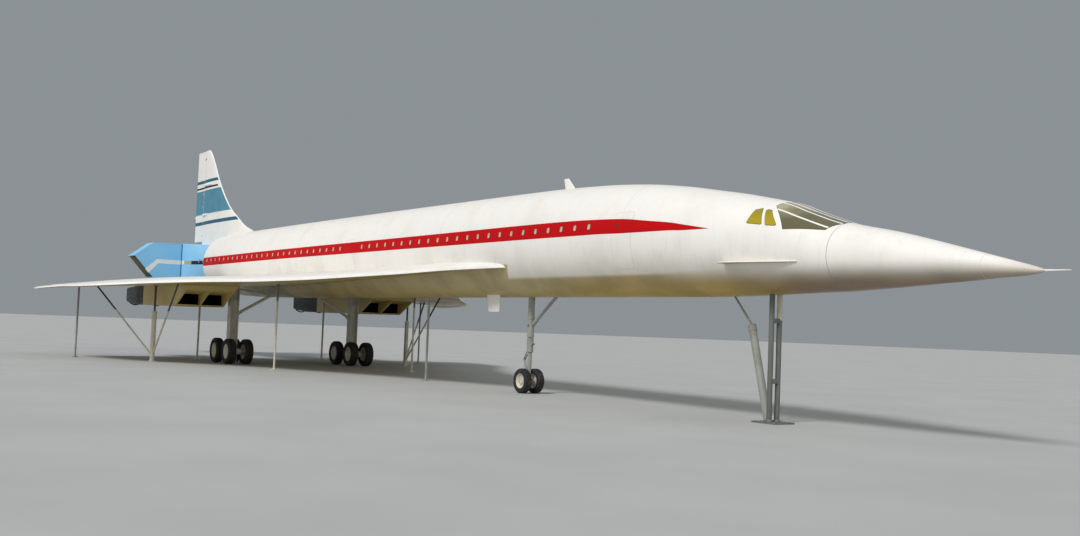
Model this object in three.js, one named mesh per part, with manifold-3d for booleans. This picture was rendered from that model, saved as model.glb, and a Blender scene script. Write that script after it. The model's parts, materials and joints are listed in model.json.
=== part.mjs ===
// Half-scale slender delta supersonic airliner on its landing gear and display posts.
// Millimetres. X points to the nose, Y to port, Z up; the floor is Z = 0.
// Fore-and-aft places are stations: the distance aft of the nose tip.
// Heights are measured from the fuselage datum, which lies DATUM above the floor.
import * as THREE from "three";
import { mergeVertices } from "three/addons/utils/BufferGeometryUtils.js";
import Module from "manifold-3d";

const wasm = await Module();
wasm.setup();

// Driving dimensions; the origin lies midway between the probe's tip and the rear end
const PROBE_LENGTH = 275;
const REAR_END = 27950;
const NOSE_X = (REAR_END - PROBE_LENGTH) / 2;
const DATUM = 2425;
const FLOOR = -DATUM;
const FIT = 0.3;
const RUNNING_GAP = 8;
// How far a cutting or joining shape runs past what it cuts or joins
const OVERRUN = 30;
const AMPLE = 900;
const SIDES = [["starboard", -1], ["port", 1]];

// Numbers of flat sides on round things
const FUSELAGE_SIDES = 32;
const PIN_SIDES = 8;
const DISC_SIDES = 10;
const ROD_SIDES = 12;
const LEG_SIDES = 16;
const AXLE_SIDES = 20;
const WHEEL_SIDES = 20;

// Fuselage sections: station, crown height, keel height, half width
const FUSELAGE = [
  [0, -564, -588, 12],
  [120, -525, -630, 55],
  [290, -480, -655, 90],
  [520, -420, -682, 135],
  [760, -360, -708, 178],
  [1265, -230, -748, 270],
  [1805, -100, -778, 360],
  [2385, 15, -798, 445],
  [2535, 65, -802, 466],
  [3000, 230, -812, 530],
  [3350, 340, -818, 576],
  [3865, 445, -828, 632],
  [4230, 515, -832, 662],
  [4800, 605, -835, 694],
  [5420, 705, -835, 712],
  [6300, 805, -835, 720],
  [7250, 865, -835, 720],
  [8700, 900, -835, 720],
  [12500, 915, -835, 720],
  [17500, 925, -835, 720],
  [22000, 915, -800, 720],
  [24600, 875, -690, 700],
];
const FUSELAGE_END = 24600;
const RADOME_END = 760;
const NOSE_TIP_HEIGHT = -576;
const PROBE = { radius: 9, tipRadius: 3 };

// Droop nose: it splits from the fuselage at a station and turns down about pins low in the joint
const NOSE_SPLIT = 2480;
const DROOP = { ahead: 70, height: -760, angle: 12.5, pinSpan: 150 };
// The room for the droop is cut this much past the limit, and starts this far behind the rear face
const DROOP_ROOM = { angle: 0.3, setback: 2 };
const NOSE_LUG = { width: 40, radius: 26, pin: 12, reach: 110, stub: 30, clear: 6 };

// Cockpit panes in side view, as station and height; they lie flush with the skin
const WINDSCREEN = [[3022, -40], [2560, -40], [2540, 240], [3000, 600], [3340, 600], [3250, 262]];
const SIDE_PANES = [
  [[3135, 0], [3315, 10], [3382, 230], [3291, 228]],
  [[3365, 12], [3615, 55], [3500, 235], [3449, 235]],
];
const GLASS_DEPTH = 22;
const RECESS_PROUD = 2;

// Doors: name, forward station, aft station
const DOORS = [
  ["forward", 5800, 6240],
  ["middle", 14825, 15265],
];
const DOOR_DEPTH = 45;
const DOOR_HEIGHTS = [-470, 330];
const PANEL_REACH = [200, 900];

// Wing sections: half span, lead station and height, trail station and height, thickness, camber
const WING = [
  [0, 8700, -350, 22000, -540, 300, 50],
  [650, 9100, -365, 22000, -540, 205, 75],
  [925, 10550, -412, 22000, -540, 215, 46],
  [1200, 11800, -470, 22000, -545, 225, 36],
  [1550, 13200, -525, 22000, -550, 232, 35],
  [1975, 14550, -585, 22000, -560, 222, 42],
  [2500, 15850, -628, 22000, -580, 205, 42],
  [3100, 17150, -652, 22000, -612, 182, 40],
  [3800, 18300, -700, 22000, -662, 148, 32],
  [4625, 19400, -778, 22000, -740, 103, 18],
  [5080, 20260, -813, 22000, -790, 68, 6],
  [5084, 20270, -813, 22560, -804, 68, 6],
  [5300, 21100, -840, 22420, -832, 46, 2],
  [5375, 21800, -855, 22300, -850, 30, 0],
];
// Half thickness along the chord, as a share of the full thickness
const WING_CHORD = [
  [0.004, 0.05],
  [0.03, 0.16],
  [0.12, 0.33],
  [0.32, 0.47],
  [0.58, 0.5],
  [0.82, 0.42],
  [1, 0.16],
];
const TRAIL_SHARE = 0.16;
// The camber line rises at once behind the drooped leading edge and falls back to the trail
const CAMBER_POWER = 0.31;

// Elevons: name, inner half span, outer half span, inner trail station, outer trail station
const ELEVONS = [
  ["inner", 720, 1680, 22950, 22950],
  ["middle", 2900, 4000, 22950, 22800],
  ["outer", 4020, 5060, 22790, 22620],
];
const WING_TRAIL = 22000;
const ELEVON_HINGE = 22075;
const ELEVON_NOSE = 67;
const ELEVON_TRAIL_THICKNESS = 10;

// Hinges of the elevons and rudders: lugs on the fixed part, notches in the moving part;
// the skin covers a lug by cover, and its pin has half its radius
const LUG = { width: 14, radius: 15, stub: 12, clear: 5, cover: 1.5 };
const LUG_SHARES = [0.14, 0.86];
const LUG_ROOT = 12;
const NOTCH_DEPTH = 220;

// Fin sections: height, lead station, thickness; the fixed fin ends short of the rudders
// and stands FIT above the corridor's roof
const FIN = [
  [780.3, 22300, 150],
  [930, 22700, 150],
  [1100, 23350, 145],
  [1360, 23950, 135],
  [1685, 24630, 122],
  [2420, 25570, 95],
  [3440, 26560, 55],
  [3500, 26680, 50],
];
const RUDDER = { hingeBase: 27045, hingeTop: 27120, nose: 85, trail: 27710, trailThickness: 8 };
const RUDDER_LUG_REACH = 104;
// Rudders: name, low height, high height
const RUDDERS = [
  ["lower", 830, 2030],
  ["upper", 2042, 3440],
];
// Servo fairings on the fin's starboard face: name, height, forward station
const SERVO_FAIRINGS = [
  ["upper", 2475, 26150],
  ["lower", 1600, 26450],
];
const SERVO = { end: 26930, y: -30, halfWidth: 45, halfHeight: 42 };
// Shape of a servo fairing: share of the length, share of the section
const SERVO_RINGS = [[0, 0.35], [0.15, 0.8], [0.4, 1], [1, 1]];

// Blade antenna in side view and a nose vane in plan, as station and half span
const ANTENNA = [[8160, 840], [8390, 840], [8420, 1065], [8330, 1075]];
const ANTENNA_HALF = 8;
const VANE = [[2820, 420], [2820, 508], [3830, 735], [3890, 715], [3890, 420]];
const VANE_HEIGHT = -445;
const VANE_THICKNESS = 16;

// Nacelles: half spans of the sides, stations of the raked lip, and heights
const NACELLE = {
  inner: 1725,
  outer: 2845,
  wall: 32,
  lipTop: 18750,
  lipBottom: 19680,
  roof: -585,
  lipRoof: -690,
  ductRoof: -790,
  floor: -1135,
  nozzleStart: 22370,
};
const ENGINE = { from: 20600, to: 22200 };
// Nozzle sections: station, inset of the sides, lift of the floor
const NOZZLE = [
  [22370.3, 0, 0],
  [23300, 10, 12],
  [24175, 60, 75],
];
const NOZZLE_ROOF = -650;
const NOZZLE_CORNER = 60;
const NOZZLE_CORNER_STEPS = 3;
// Corners of a nozzle section in turn: towards the outer side, towards the top
const NOZZLE_CORNERS = [[true, true], [false, true], [false, false], [true, false]];
const NOZZLE_BORE = { height: -932, front: 165, rear: 185 };

// Main gear: a column and a four-wheel bogie a side
const MAIN = {
  station: 19600,
  y: 1510,
  wheelRadius: 290,
  wheelWidth: 190,
  twinSpacing: 400,
  wheelbase: 835,
  axleRadius: 42,
  bossRadius: 68,
  bossHalf: 62,
  beamRadius: 48,
};
// Column of H section: depth fore and aft, width across, plate thickness, top, and its foot plate
const COLUMN = { depth: 200, width: 200, plate: 16, top: -560, foot: 250, footThickness: 18 };
// Side stay: from low on the column inboard to a knee, and a link from the knee to the column's head
const STAY = { foot: -1265, head: -665, kneeY: 620, kneeZ: -805, radius: 34, linkRadius: 22 };

// Nose gear: fixed leg, steered fork with twin wheels, drag stay and door
const NOSE_GEAR = {
  station: 9300,
  legRadius: 60,
  legBottom: -1500,
  legTop: -800,
  postRadius: 34,
  postTop: -1300,
  collarRadius: 54,
  collarBottom: -1750,
  collarTop: -1508,
  wheelRadius: 205,
  wheelWidth: 130,
  twinSpacing: 250,
  axleRadius: 28,
  bossRadius: 46,
  bossHalf: 60,
};
const NOSE_STAY = { from: [9260, -1300], to: [8540, -800], radius: 28 };
const NOSE_DOOR = [[10215, -780], [10545, -780], [10090, -1090], [9985, -1090]];
const NOSE_DOOR_Y = [-206, -194];

// Posts in pairs under the wings: name, station, half span, radius
const WING_POSTS = [
  ["wing_tip", 21700, 4500, 22],
  ["wing_rear", 19975, 3210, 24],
  ["wing_inner_rear", 21700, 1640, 24],
  ["wing_forward", 16570, 1620, 22],
];
const POST_FOOT = 140;
const POST_FOOT_THICKNESS = 12;
const POST_HEAD = 30;
// The rear wing posts have a thick lower part, and two braces that fan out from its foot
const THICK_POST = { radius: 52, height: -1290 };
const BRACE = { radius: 20, foot: -2300 };
// Where the braces' heads lie from the post: stations aft and half span outboard
const BRACE_HEADS = [[-1700, 0], [1040, 1040]];
const BELLY_POST = { station: 12880, radius: 22, top: -790 };

// Forward pair of posts under the cockpit, with a raking strut behind them
const FORWARD_POSTS = { station: 3700, y: 68, radius: 34, top: -790 };
const FORWARD_FOOT = { from: 3500, to: 3900, half: 180, thickness: 20 };
const FORWARD_STRUT = {
  foot: [3790, -2400],
  knee: [4120, -1190],
  top: [4460, -790],
  radius: 50,
  thin: 14,
};

// Rear entrance corridor on the cut end of the fuselage, and its arm to starboard
const CORRIDOR = { turn: 26950, half: 585, roof: 780, floor: -560, wall: 30 };
// Outlines of the arm as half span to port and height, outside and inside
const ARM = [[585, 780], [-1415, 745], [-2050, 295], [-1410, -305], [-1180, -560], [585, -560]];
const ARM_INSIDE = [[555, 750], [-1405, 715], [-2100, 215], [-1480, -365], [-1150, -530], [555, -530]];

// Colour, roughness and metalness
const MATERIALS = {
  white: [0xe9e9e6, 0.45, 0.0],
  blue: [0x6eb2e6, 0.5, 0.0],
  glass: [0x4a4630, 0.15, 0.1],
  metal: [0x6f7884, 0.4, 0.8],
  dark: [0x2b2f2c, 0.6, 0.3],
  steel: [0x4c5450, 0.55, 0.4],
  pale: [0xb9bdb4, 0.6, 0.2],
  rubber: [0x1c1c1c, 0.9, 0.0],
  tan: [0x9a9078, 0.6, 0.0],
};

const FORWARD = new THREE.Vector3(1, 0, 0);
const AFTWARD = new THREE.Vector3(-1, 0, 0);
const TO_PORT = new THREE.Vector3(0, 1, 0);
const UPWARD = new THREE.Vector3(0, 0, 1);

const model = new THREE.Group();

function at(station, y, z) {
  return new THREE.Vector3(NOSE_X - station, y, DATUM + z);
}

// A table's column at a value of its first column, on straight lines between the rows
function tableAt(table, column, value) {
  const last = table.length - 1;
  if (value <= table[0][0]) return table[0][column];
  if (value >= table[last][0]) return table[last][column];
  const next = table.findIndex((row) => row[0] > value);
  const [low, high] = [table[next - 1], table[next]];
  const share = (value - low[0]) / (high[0] - low[0]);
  return low[column] + share * (high[column] - low[column]);
}

// A closed mesh as a solid for cutting and joining
function solid(geometry) {
  if (!(geometry instanceof THREE.BufferGeometry)) return geometry;
  const bare = geometry.index ? geometry.toNonIndexed() : geometry.clone();
  for (const name of Object.keys(bare.attributes)) {
    if (name !== "position") bare.deleteAttribute(name);
  }
  const merged = mergeVertices(bare, 1e-3);
  return new wasm.Manifold(new wasm.Mesh({
    numProp: 3,
    vertProperties: new Float32Array(merged.attributes.position.array),
    triVerts: new Uint32Array(merged.index.array),
  }));
}

function geometryOf(manifold) {
  const mesh = manifold.getMesh();
  const geometry = new THREE.BufferGeometry();
  const positions = new Float32Array(mesh.numVert * 3);
  for (let i = 0; i < mesh.numVert; i += 1) {
    for (let k = 0; k < 3; k += 1) {
      positions[3 * i + k] = mesh.vertProperties[mesh.numProp * i + k];
    }
  }
  geometry.setAttribute("position", new THREE.BufferAttribute(positions, 3));
  geometry.setIndex(new THREE.BufferAttribute(new Uint32Array(mesh.triVerts), 1));
  return geometry;
}

function union(...shapes) {
  return shapes.map(solid).reduce((sum, part) => sum.add(part));
}

function cut(body, ...tools) {
  return tools.map(solid).reduce((rest, tool) => rest.subtract(tool), solid(body));
}

// The largest piece that a cut leaves
function keepLargest(manifold) {
  const pieces = manifold.decompose();
  return pieces.reduce((best, piece) => (piece.volume() > best.volume() ? piece : best));
}

// Name a sub-part and put it in the model
function add(name, shape, materialName) {
  const [color, roughness, metalness] = MATERIALS[materialName];
  const geometry = shape instanceof THREE.BufferGeometry ? shape : geometryOf(shape);
  const material = new THREE.MeshStandardMaterial({ color, roughness, metalness });
  const mesh = new THREE.Mesh(geometry, material);
  mesh.name = name;
  model.add(mesh);
}

// A closed body through rings of equal length, in order
function loft(rings) {
  const count = rings[0].length;
  const positions = rings.flat().flatMap((p) => [p.x, p.y, p.z]);
  const triangles = [];
  for (let r = 0; r + 1 < rings.length; r += 1) {
    for (let i = 0; i < count; i += 1) {
      const next = (i + 1) % count;
      const near = r * count;
      const far = near + count;
      triangles.push(near + i, near + next, far + next, near + i, far + next, far + i);
    }
  }
  for (const [ring, turned] of [[0, true], [rings.length - 1, false]]) {
    const start = ring * count;
    for (const [i, j, k] of THREE.ShapeUtils.triangulateShape(flatPoints(rings[ring]), [])) {
      triangles.push(start + i, start + (turned ? k : j), start + (turned ? j : k));
    }
  }
  const geometry = new THREE.BufferGeometry();
  geometry.setAttribute("position", new THREE.Float32BufferAttribute(positions, 3));
  geometry.setIndex(triangles);
  return outward(geometry);
}

// A flat ring's points in its own plane
function flatPoints(ring) {
  const normal = new THREE.Vector3();
  ring.forEach((p, i) => normal.add(p.clone().cross(ring[(i + 1) % ring.length])));
  const along = ring[1].clone().sub(ring[0]).normalize();
  const across = normal.normalize().clone().cross(along);
  return ring.map((p) => new THREE.Vector2(p.dot(along), p.dot(across)));
}

// Turn every face of a closed body to point out
function outward(geometry) {
  const position = geometry.attributes.position;
  const index = geometry.index.array;
  const corners = [0, 1, 2].map(() => new THREE.Vector3());
  let volume = 0;
  for (let i = 0; i < index.length; i += 3) {
    corners.forEach((corner, k) => corner.fromBufferAttribute(position, index[i + k]));
    volume += corners[0].dot(corners[1].cross(corners[2]));
  }
  if (volume < 0) {
    for (let i = 0; i < index.length; i += 3) {
      [index[i + 1], index[i + 2]] = [index[i + 2], index[i + 1]];
    }
  }
  return geometry;
}

// A box between two stations, two half spans and two heights
function box(s0, s1, y0, y1, z0, z1) {
  const geometry = new THREE.BoxGeometry(Math.abs(s1 - s0), Math.abs(y1 - y0), Math.abs(z1 - z0));
  const middle = at((s0 + s1) / 2, (y0 + y1) / 2, (z0 + z1) / 2);
  geometry.translate(middle.x, middle.y, middle.z);
  return geometry;
}

function rod(from, to, radius, sides = ROD_SIDES, radiusEnd = radius) {
  const geometry = new THREE.CylinderGeometry(radiusEnd, radius, from.distanceTo(to), sides);
  const turn = new THREE.Quaternion();
  turn.setFromUnitVectors(new THREE.Vector3(0, 1, 0), to.clone().sub(from).normalize());
  geometry.applyQuaternion(turn);
  geometry.translate((from.x + to.x) / 2, (from.y + to.y) / 2, (from.z + to.z) / 2);
  return geometry;
}

// A square plate on the floor
function footPlate(station, y, size, thickness) {
  const half = size / 2;
  return box(station - half, station + half, y - half, y + half, FLOOR, FLOOR + thickness);
}

// A rod that lies along Y, centred on a point
function crossRod(middle, halfLength, radius, sides = ROD_SIDES) {
  const half = TO_PORT.clone().multiplyScalar(halfLength);
  return rod(middle.clone().sub(half), middle.clone().add(half), radius, sides);
}

// Radius of a bore that a round pin turns in, both with the given number of sides
function bored(radius, sides) {
  return (radius + FIT) / Math.cos(Math.PI / sides);
}

// A side-view outline of stations and heights, between two half spans
function prism(outline, y0, y1) {
  const shape = new THREE.Shape(outline.map(([s, z]) => new THREE.Vector2(NOSE_X - s, DATUM + z)));
  const geometry = new THREE.ExtrudeGeometry(shape, { depth: y1 - y0, bevelEnabled: false });
  geometry.rotateX(Math.PI / 2);
  geometry.translate(0, y1, 0);
  return geometry;
}

// Fuselage ring at a station, grown outward by a margin
function fuselageRing(station, grow = 0) {
  const [crown, keel, half] = [1, 2, 3].map((column) => tableAt(FUSELAGE, column, station));
  const ring = [];
  for (let i = 0; i < FUSELAGE_SIDES; i += 1) {
    const angle = (2 * Math.PI * (i + 0.5)) / FUSELAGE_SIDES;
    const rise = ((crown - keel) / 2 + grow) * Math.sin(angle);
    ring.push(at(station, (half + grow) * Math.cos(angle), (crown + keel) / 2 + rise));
  }
  return ring;
}

function fuselageLoft(from, to, grow = 0) {
  const inside = FUSELAGE.map((row) => row[0]).filter((s) => s > from + 1 && s < to - 1);
  return loft([from, ...inside, to].map((s) => fuselageRing(s, grow)));
}

// Room that the fuselage takes from what stands against it
const fuselageRoom = solid(fuselageLoft(NOSE_SPLIT - OVERRUN, FUSELAGE_END + FIT, FIT));

// Rise of the wing's camber line at a share of the chord, as a share of its full rise
function camberAt(share) {
  return Math.sin(Math.PI * share ** CAMBER_POWER);
}

// Wing section on one side, grown by a margin
function wingRing([y, lead, leadZ, trail, trailZ, thickness, camber], side, grow) {
  const surface = (sense) => WING_CHORD.map(([share, half]) => {
    const station = lead - grow + share * (trail - lead + 2 * grow);
    const middle = leadZ + share * (trailZ - leadZ) + camber * camberAt(share);
    return at(station, side * y, middle + sense * (half * thickness + grow));
  });
  return [...surface(1), ...surface(-1).reverse()];
}

function wingSolid(side, grow = 0) {
  return solid(loft(WING.map((row) => wingRing(row, side, grow))));
}

// A flat bar that starts at a point and reaches along one direction
function bar(point, axis, towards, reach, height, width) {
  const geometry = new THREE.BoxGeometry(reach, height, width);
  geometry.translate(reach / 2, 0, 0);
  geometry.applyMatrix4(new THREE.Matrix4().makeBasis(towards, axis.clone().cross(towards), axis));
  geometry.translate(point.x, point.y, point.z);
  return geometry;
}

// A lug with pin stubs, on the fixed part
function hingeLug(point, axis, towards, size) {
  const across = axis.clone().multiplyScalar(size.width / 2);
  const stub = axis.clone().multiplyScalar(size.width / 2 + size.stub);
  return union(
    rod(point.clone().sub(across), point.clone().add(across), size.radius, DISC_SIDES),
    rod(point.clone().sub(stub), point.clone().add(stub), size.pin, PIN_SIDES),
    bar(point, axis, towards, size.reach, size.radius * 2, size.width),
  );
}

// The notch and bores that a lug turns in, cut from the moving part
function hingeNotch(point, axis, towards, size, depth) {
  const back = size.radius + size.clear;
  const start = point.clone().addScaledVector(towards, -back);
  const stub = axis.clone().multiplyScalar(size.width / 2 + size.stub + FIT);
  return union(
    bar(start, axis, towards, back + size.reach + LUG_ROOT, depth, size.width + 2 * size.clear),
    rod(point.clone().sub(stub), point.clone().add(stub), bored(size.pin, PIN_SIDES), PIN_SIDES),
  );
}

// Lugs and notches of a long hinge between two points
function hinge(from, to, towards, radius, reach) {
  const axis = to.clone().sub(from).normalize();
  const size = { ...LUG, radius, pin: radius / 2, reach };
  const points = LUG_SHARES.map((share) => from.clone().lerp(to, share));
  return {
    lugs: points.map((point) => hingeLug(point, axis, towards, size)),
    notches: points.map((point) => hingeNotch(point, axis, towards, size, NOTCH_DEPTH)),
  };
}

// Droop nose, radome and probe; gives the lugs that carry the nose
function buildNose() {
  const axis = at(NOSE_SPLIT - DROOP.ahead, 0, DROOP.height);
  const points = [-DROOP.pinSpan, DROOP.pinSpan].map((y) => axis.clone().setY(y));
  const swingStart = NOSE_SPLIT - RUNNING_GAP + DROOP_ROOM.setback;
  const swing = box(swingStart, swingStart + AMPLE, -AMPLE, AMPLE, -2 * AMPLE, AMPLE);
  swing.translate(-axis.x, 0, -axis.z);
  swing.rotateY(THREE.MathUtils.degToRad(-DROOP.angle - DROOP_ROOM.angle));
  swing.translate(axis.x, 0, axis.z);
  const shell = cut(
    fuselageLoft(RADOME_END + FIT, NOSE_SPLIT - RUNNING_GAP),
    swing,
    ...points.map((point) => hingeNotch(point, TO_PORT, AFTWARD, NOSE_LUG, NOSE_LUG.reach)),
  );
  add("droop_nose", shell, "white");
  add("radome", fuselageLoft(0, RADOME_END), "white");
  const root = at(-FIT, 0, NOSE_TIP_HEIGHT);
  const tip = at(-PROBE_LENGTH, 0, NOSE_TIP_HEIGHT);
  add("nose_probe", rod(root, tip, PROBE.radius, ROD_SIDES, PROBE.tipRadius), "dark");
  return points.map((point) => hingeLug(point, TO_PORT, AFTWARD, NOSE_LUG));
}

// An outline of stations and heights drawn in by a margin
function shrink(outline, margin) {
  const count = outline.length;
  const points = outline.map(([s, z]) => new THREE.Vector2(s, z));
  const turn = THREE.ShapeUtils.isClockWise(points) ? -1 : 1;
  return points.map((p, i) => {
    const before = p.clone().sub(points[(i + count - 1) % count]).normalize();
    const after = points[(i + 1) % count].clone().sub(p).normalize();
    const inward = [before, after].map((d) => new THREE.Vector2(-d.y * turn, d.x * turn));
    const sum = inward[0].clone().add(inward[1]);
    return p.clone().addScaledVector(sum, margin / (1 + inward[0].dot(inward[1]))).toArray();
  });
}

// A panel flush with the fuselage skin, and the recess that it sits in
function skinPanel(outline, y0, y1, depth) {
  const stations = outline.map((p) => p[0]);
  const [from, to] = [Math.min(...stations) - OVERRUN, Math.max(...stations) + OVERRUN];
  const skin = (grow, extra) => solid(fuselageLoft(from - extra, to + extra, grow));
  const panel = skin(0, 0).intersect(solid(prism(shrink(outline, FIT), y0, y1)));
  const recess = skin(RECESS_PROUD, 0).intersect(solid(prism(outline, y0, y1)));
  return {
    panel: cut(panel, skin(-depth, OVERRUN)),
    recess: cut(recess, skin(-depth - FIT, OVERRUN)),
  };
}

// Windscreen, side windows, doors and the fuselage around them
function buildFuselage(noseLugs) {
  const recesses = [];
  const addPanel = (name, outline, y0, y1, depth, materialName) => {
    const { panel, recess } = skinPanel(outline, y0, y1, depth);
    add(name, panel, materialName);
    recesses.push(recess);
  };
  const [near, far] = PANEL_REACH;
  addPanel("windscreen", WINDSCREEN, -far, far, GLASS_DEPTH, "glass");
  for (const [sideName, side] of SIDES) {
    const span = side > 0 ? [near, far] : [-far, -near];
    SIDE_PANES.forEach((outline, i) => {
      addPanel(`side_window_${i + 1}_${sideName}`, outline, ...span, GLASS_DEPTH, "glass");
    });
    for (const [name, from, to] of DOORS) {
      const [low, high] = DOOR_HEIGHTS;
      const outline = [[from, low], [to, low], [to, high], [from, high]];
      addPanel(`${name}_door_${sideName}`, outline, ...span, DOOR_DEPTH, "white");
    }
  }
  const body = cut(fuselageLoft(NOSE_SPLIT, FUSELAGE_END), ...recesses);
  add("fuselage", union(body, ...noseLugs), "white");
}

function elevonHingePoint(y) {
  return at(ELEVON_HINGE, y, tableAt(WING, 4, Math.abs(y)));
}

function elevonRing(y, trail) {
  const half = TRAIL_SHARE * tableAt(WING, 5, Math.abs(y));
  const z = tableAt(WING, 4, Math.abs(y));
  const nose = [1, 0.5, 0, -0.5, -1].map((share) => {
    const rise = half * share;
    return at(ELEVON_HINGE - Math.sqrt(ELEVON_NOSE ** 2 - rise ** 2), y, z + rise);
  });
  const end = ELEVON_TRAIL_THICKNESS / 2;
  return [...nose, at(trail, y, z - end), at(trail, y, z + end)];
}

// A wing and its three elevons
function buildWing(sideName, side) {
  const lugs = [];
  for (const [name, inner, outer, innerTrail, outerTrail] of ELEVONS) {
    const from = elevonHingePoint(side * inner);
    const to = elevonHingePoint(side * outer);
    const towards = to.clone().sub(from).cross(UPWARD).normalize();
    if (towards.x < 0) towards.negate();
    const radius = Math.min(LUG.radius, TRAIL_SHARE * tableAt(WING, 5, outer) - LUG.cover);
    const joint = hinge(from, to, towards, radius, ELEVON_HINGE - WING_TRAIL + LUG_ROOT);
    const body = loft([elevonRing(side * inner, innerTrail), elevonRing(side * outer, outerTrail)]);
    lugs.push(...joint.lugs);
    add(`elevon_${name}_${sideName}`, cut(body, ...joint.notches), "white");
  }
  add(`wing_${sideName}`, union(cut(wingSolid(side), fuselageRoom), ...lugs), "white");
}

function rudderHinge(z) {
  const [base, top] = [FIN[0][0], FIN[FIN.length - 1][0]];
  const share = (z - base) / (top - base);
  return at(RUDDER.hingeBase + share * (RUDDER.hingeTop - RUDDER.hingeBase), 0, z);
}

function finRing([height, lead, thickness], grow = 0) {
  const trail = NOSE_X - rudderHinge(height).x - RUDDER.nose - RUNNING_GAP;
  const face = (sense) => WING_CHORD.map(([share, half]) => (
    at(lead + share * (trail - lead), sense * (half * thickness + grow), height)
  ));
  return [...face(1), ...face(-1).reverse()];
}

function rudderRing(z) {
  const half = TRAIL_SHARE * tableAt(FIN, 2, z);
  const nose = [1, 0.5, 0, -0.5, -1].map((share) => {
    const out = half * share;
    return rudderHinge(z).add(new THREE.Vector3(Math.sqrt(RUDDER.nose ** 2 - out ** 2), out, 0));
  });
  const end = RUDDER.trailThickness / 2;
  return [...nose, at(RUDDER.trail, -end, z), at(RUDDER.trail, end, z)];
}

// Fin, its two rudders and their servo fairings
function buildFin() {
  const lugs = [];
  for (const [name, low, high] of RUDDERS) {
    const from = rudderHinge(low);
    const to = rudderHinge(high);
    const towards = TO_PORT.clone().cross(to.clone().sub(from)).normalize();
    const radius = Math.min(LUG.radius, TRAIL_SHARE * tableAt(FIN, 2, high) - LUG.cover);
    const joint = hinge(from, to, towards, radius, RUDDER_LUG_REACH);
    lugs.push(...joint.lugs);
    add(`rudder_${name}`, cut(loft([rudderRing(low), rudderRing(high)]), ...joint.notches), "white");
  }
  add("fin", union(cut(loft(FIN.map((row) => finRing(row))), fuselageRoom), ...lugs), "white");
  const finRoom = loft(FIN.map((row) => finRing(row, FIT)));
  for (const [name, height, from] of SERVO_FAIRINGS) {
    const rings = SERVO_RINGS.map(([share, size]) => {
      const station = from + share * (SERVO.end - from);
      return Array.from({ length: ROD_SIDES }, (_, i) => {
        const angle = (2 * Math.PI * i) / ROD_SIDES;
        const y = SERVO.y + SERVO.halfWidth * size * Math.cos(angle);
        return at(station, y, height + SERVO.halfHeight * size * Math.sin(angle));
      });
    });
    add(`servo_fairing_${name}`, keepLargest(cut(loft(rings), finRoom)), "white");
  }
}

// Blade antenna on the crown and the vanes beside the nose
function buildAntennaAndVanes() {
  add("blade_antenna", cut(prism(ANTENNA, -ANTENNA_HALF, ANTENNA_HALF), fuselageRoom), "dark");
  for (const [sideName, side] of SIDES) {
    const shape = new THREE.Shape(VANE.map(([s, y]) => new THREE.Vector2(NOSE_X - s, side * y)));
    const vane = new THREE.ExtrudeGeometry(shape, { depth: VANE_THICKNESS, bevelEnabled: false });
    vane.translate(0, 0, DATUM + VANE_HEIGHT);
    add(`nose_vane_${sideName}`, cut(vane, fuselageRoom), "white");
  }
}

// Nozzle section: a box with round corners
function nozzleRing(station, side, inset, lift) {
  const [y0, y1] = [NACELLE.inner + inset, NACELLE.outer - inset];
  const [z0, z1] = [NACELLE.floor + lift, NOZZLE_ROOF - lift / 2];
  const ring = [];
  NOZZLE_CORNERS.forEach(([atOuter, atTop], quarter) => {
    const y = atOuter ? y1 - NOZZLE_CORNER : y0 + NOZZLE_CORNER;
    const z = atTop ? z1 - NOZZLE_CORNER : z0 + NOZZLE_CORNER;
    for (let i = 0; i <= NOZZLE_CORNER_STEPS; i += 1) {
      const angle = ((quarter + i / NOZZLE_CORNER_STEPS) * Math.PI) / 2;
      const [across, up] = [NOZZLE_CORNER * Math.cos(angle), NOZZLE_CORNER * Math.sin(angle)];
      ring.push(at(station, side * (y + across), z + up));
    }
  });
  return ring;
}

// A nacelle with twin ducts, an engine block in each, and twin nozzles
function buildNacelle(sideName, side) {
  const n = NACELLE;
  const span = (low, high) => (side > 0 ? [low, high] : [-high, -low]);
  const shell = [
    [n.lipTop, n.roof], [n.lipTop, n.lipRoof], [n.lipBottom, n.floor],
    [n.nozzleStart, n.floor], [n.nozzleStart, n.roof],
  ];
  const width = (n.outer - n.inner - 3 * n.wall) / 2;
  const ducts = [n.inner + n.wall, n.inner + 2 * n.wall + width];
  const [front, rear] = [n.lipTop - OVERRUN, n.nozzleStart + OVERRUN];
  const ductCuts = ducts.map((y) => box(front, rear, ...span(y, y + width), n.floor + n.wall, n.ductRoof));
  const body = cut(prism(shell, ...span(n.inner, n.outer)), ...ductCuts, wingSolid(side, FIT));
  add(`nacelle_${sideName}`, keepLargest(body), "tan");
  ["inner", "outer"].forEach((place, k) => {
    const edges = span(ducts[k] + FIT, ducts[k] + width - FIT);
    const block = box(ENGINE.from, ENGINE.to, ...edges, n.floor + n.wall + FIT, n.ductRoof - FIT);
    add(`engine_${place}_${sideName}`, block, "dark");
  });
  const nozzle = loft(NOZZLE.map(([station, inset, lift]) => nozzleRing(station, side, inset, lift)));
  const bores = ducts.map((y) => {
    const ends = [NOZZLE[0][0] - OVERRUN, NOZZLE[NOZZLE.length - 1][0] + OVERRUN];
    const [from, to] = ends.map((station) => at(station, side * (y + width / 2), NOZZLE_BORE.height));
    return rod(from, to, NOZZLE_BORE.front, AXLE_SIDES, NOZZLE_BORE.rear);
  });
  add(`nozzles_${sideName}`, cut(nozzle, ...bores), "metal");
}

// Wheel half profile as share of the radius and of the width
const WHEEL_PROFILE = [[0, -0.3], [0.5, -0.24], [0.6, -0.42], [0.84, -0.5], [0.97, -0.34]];

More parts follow.
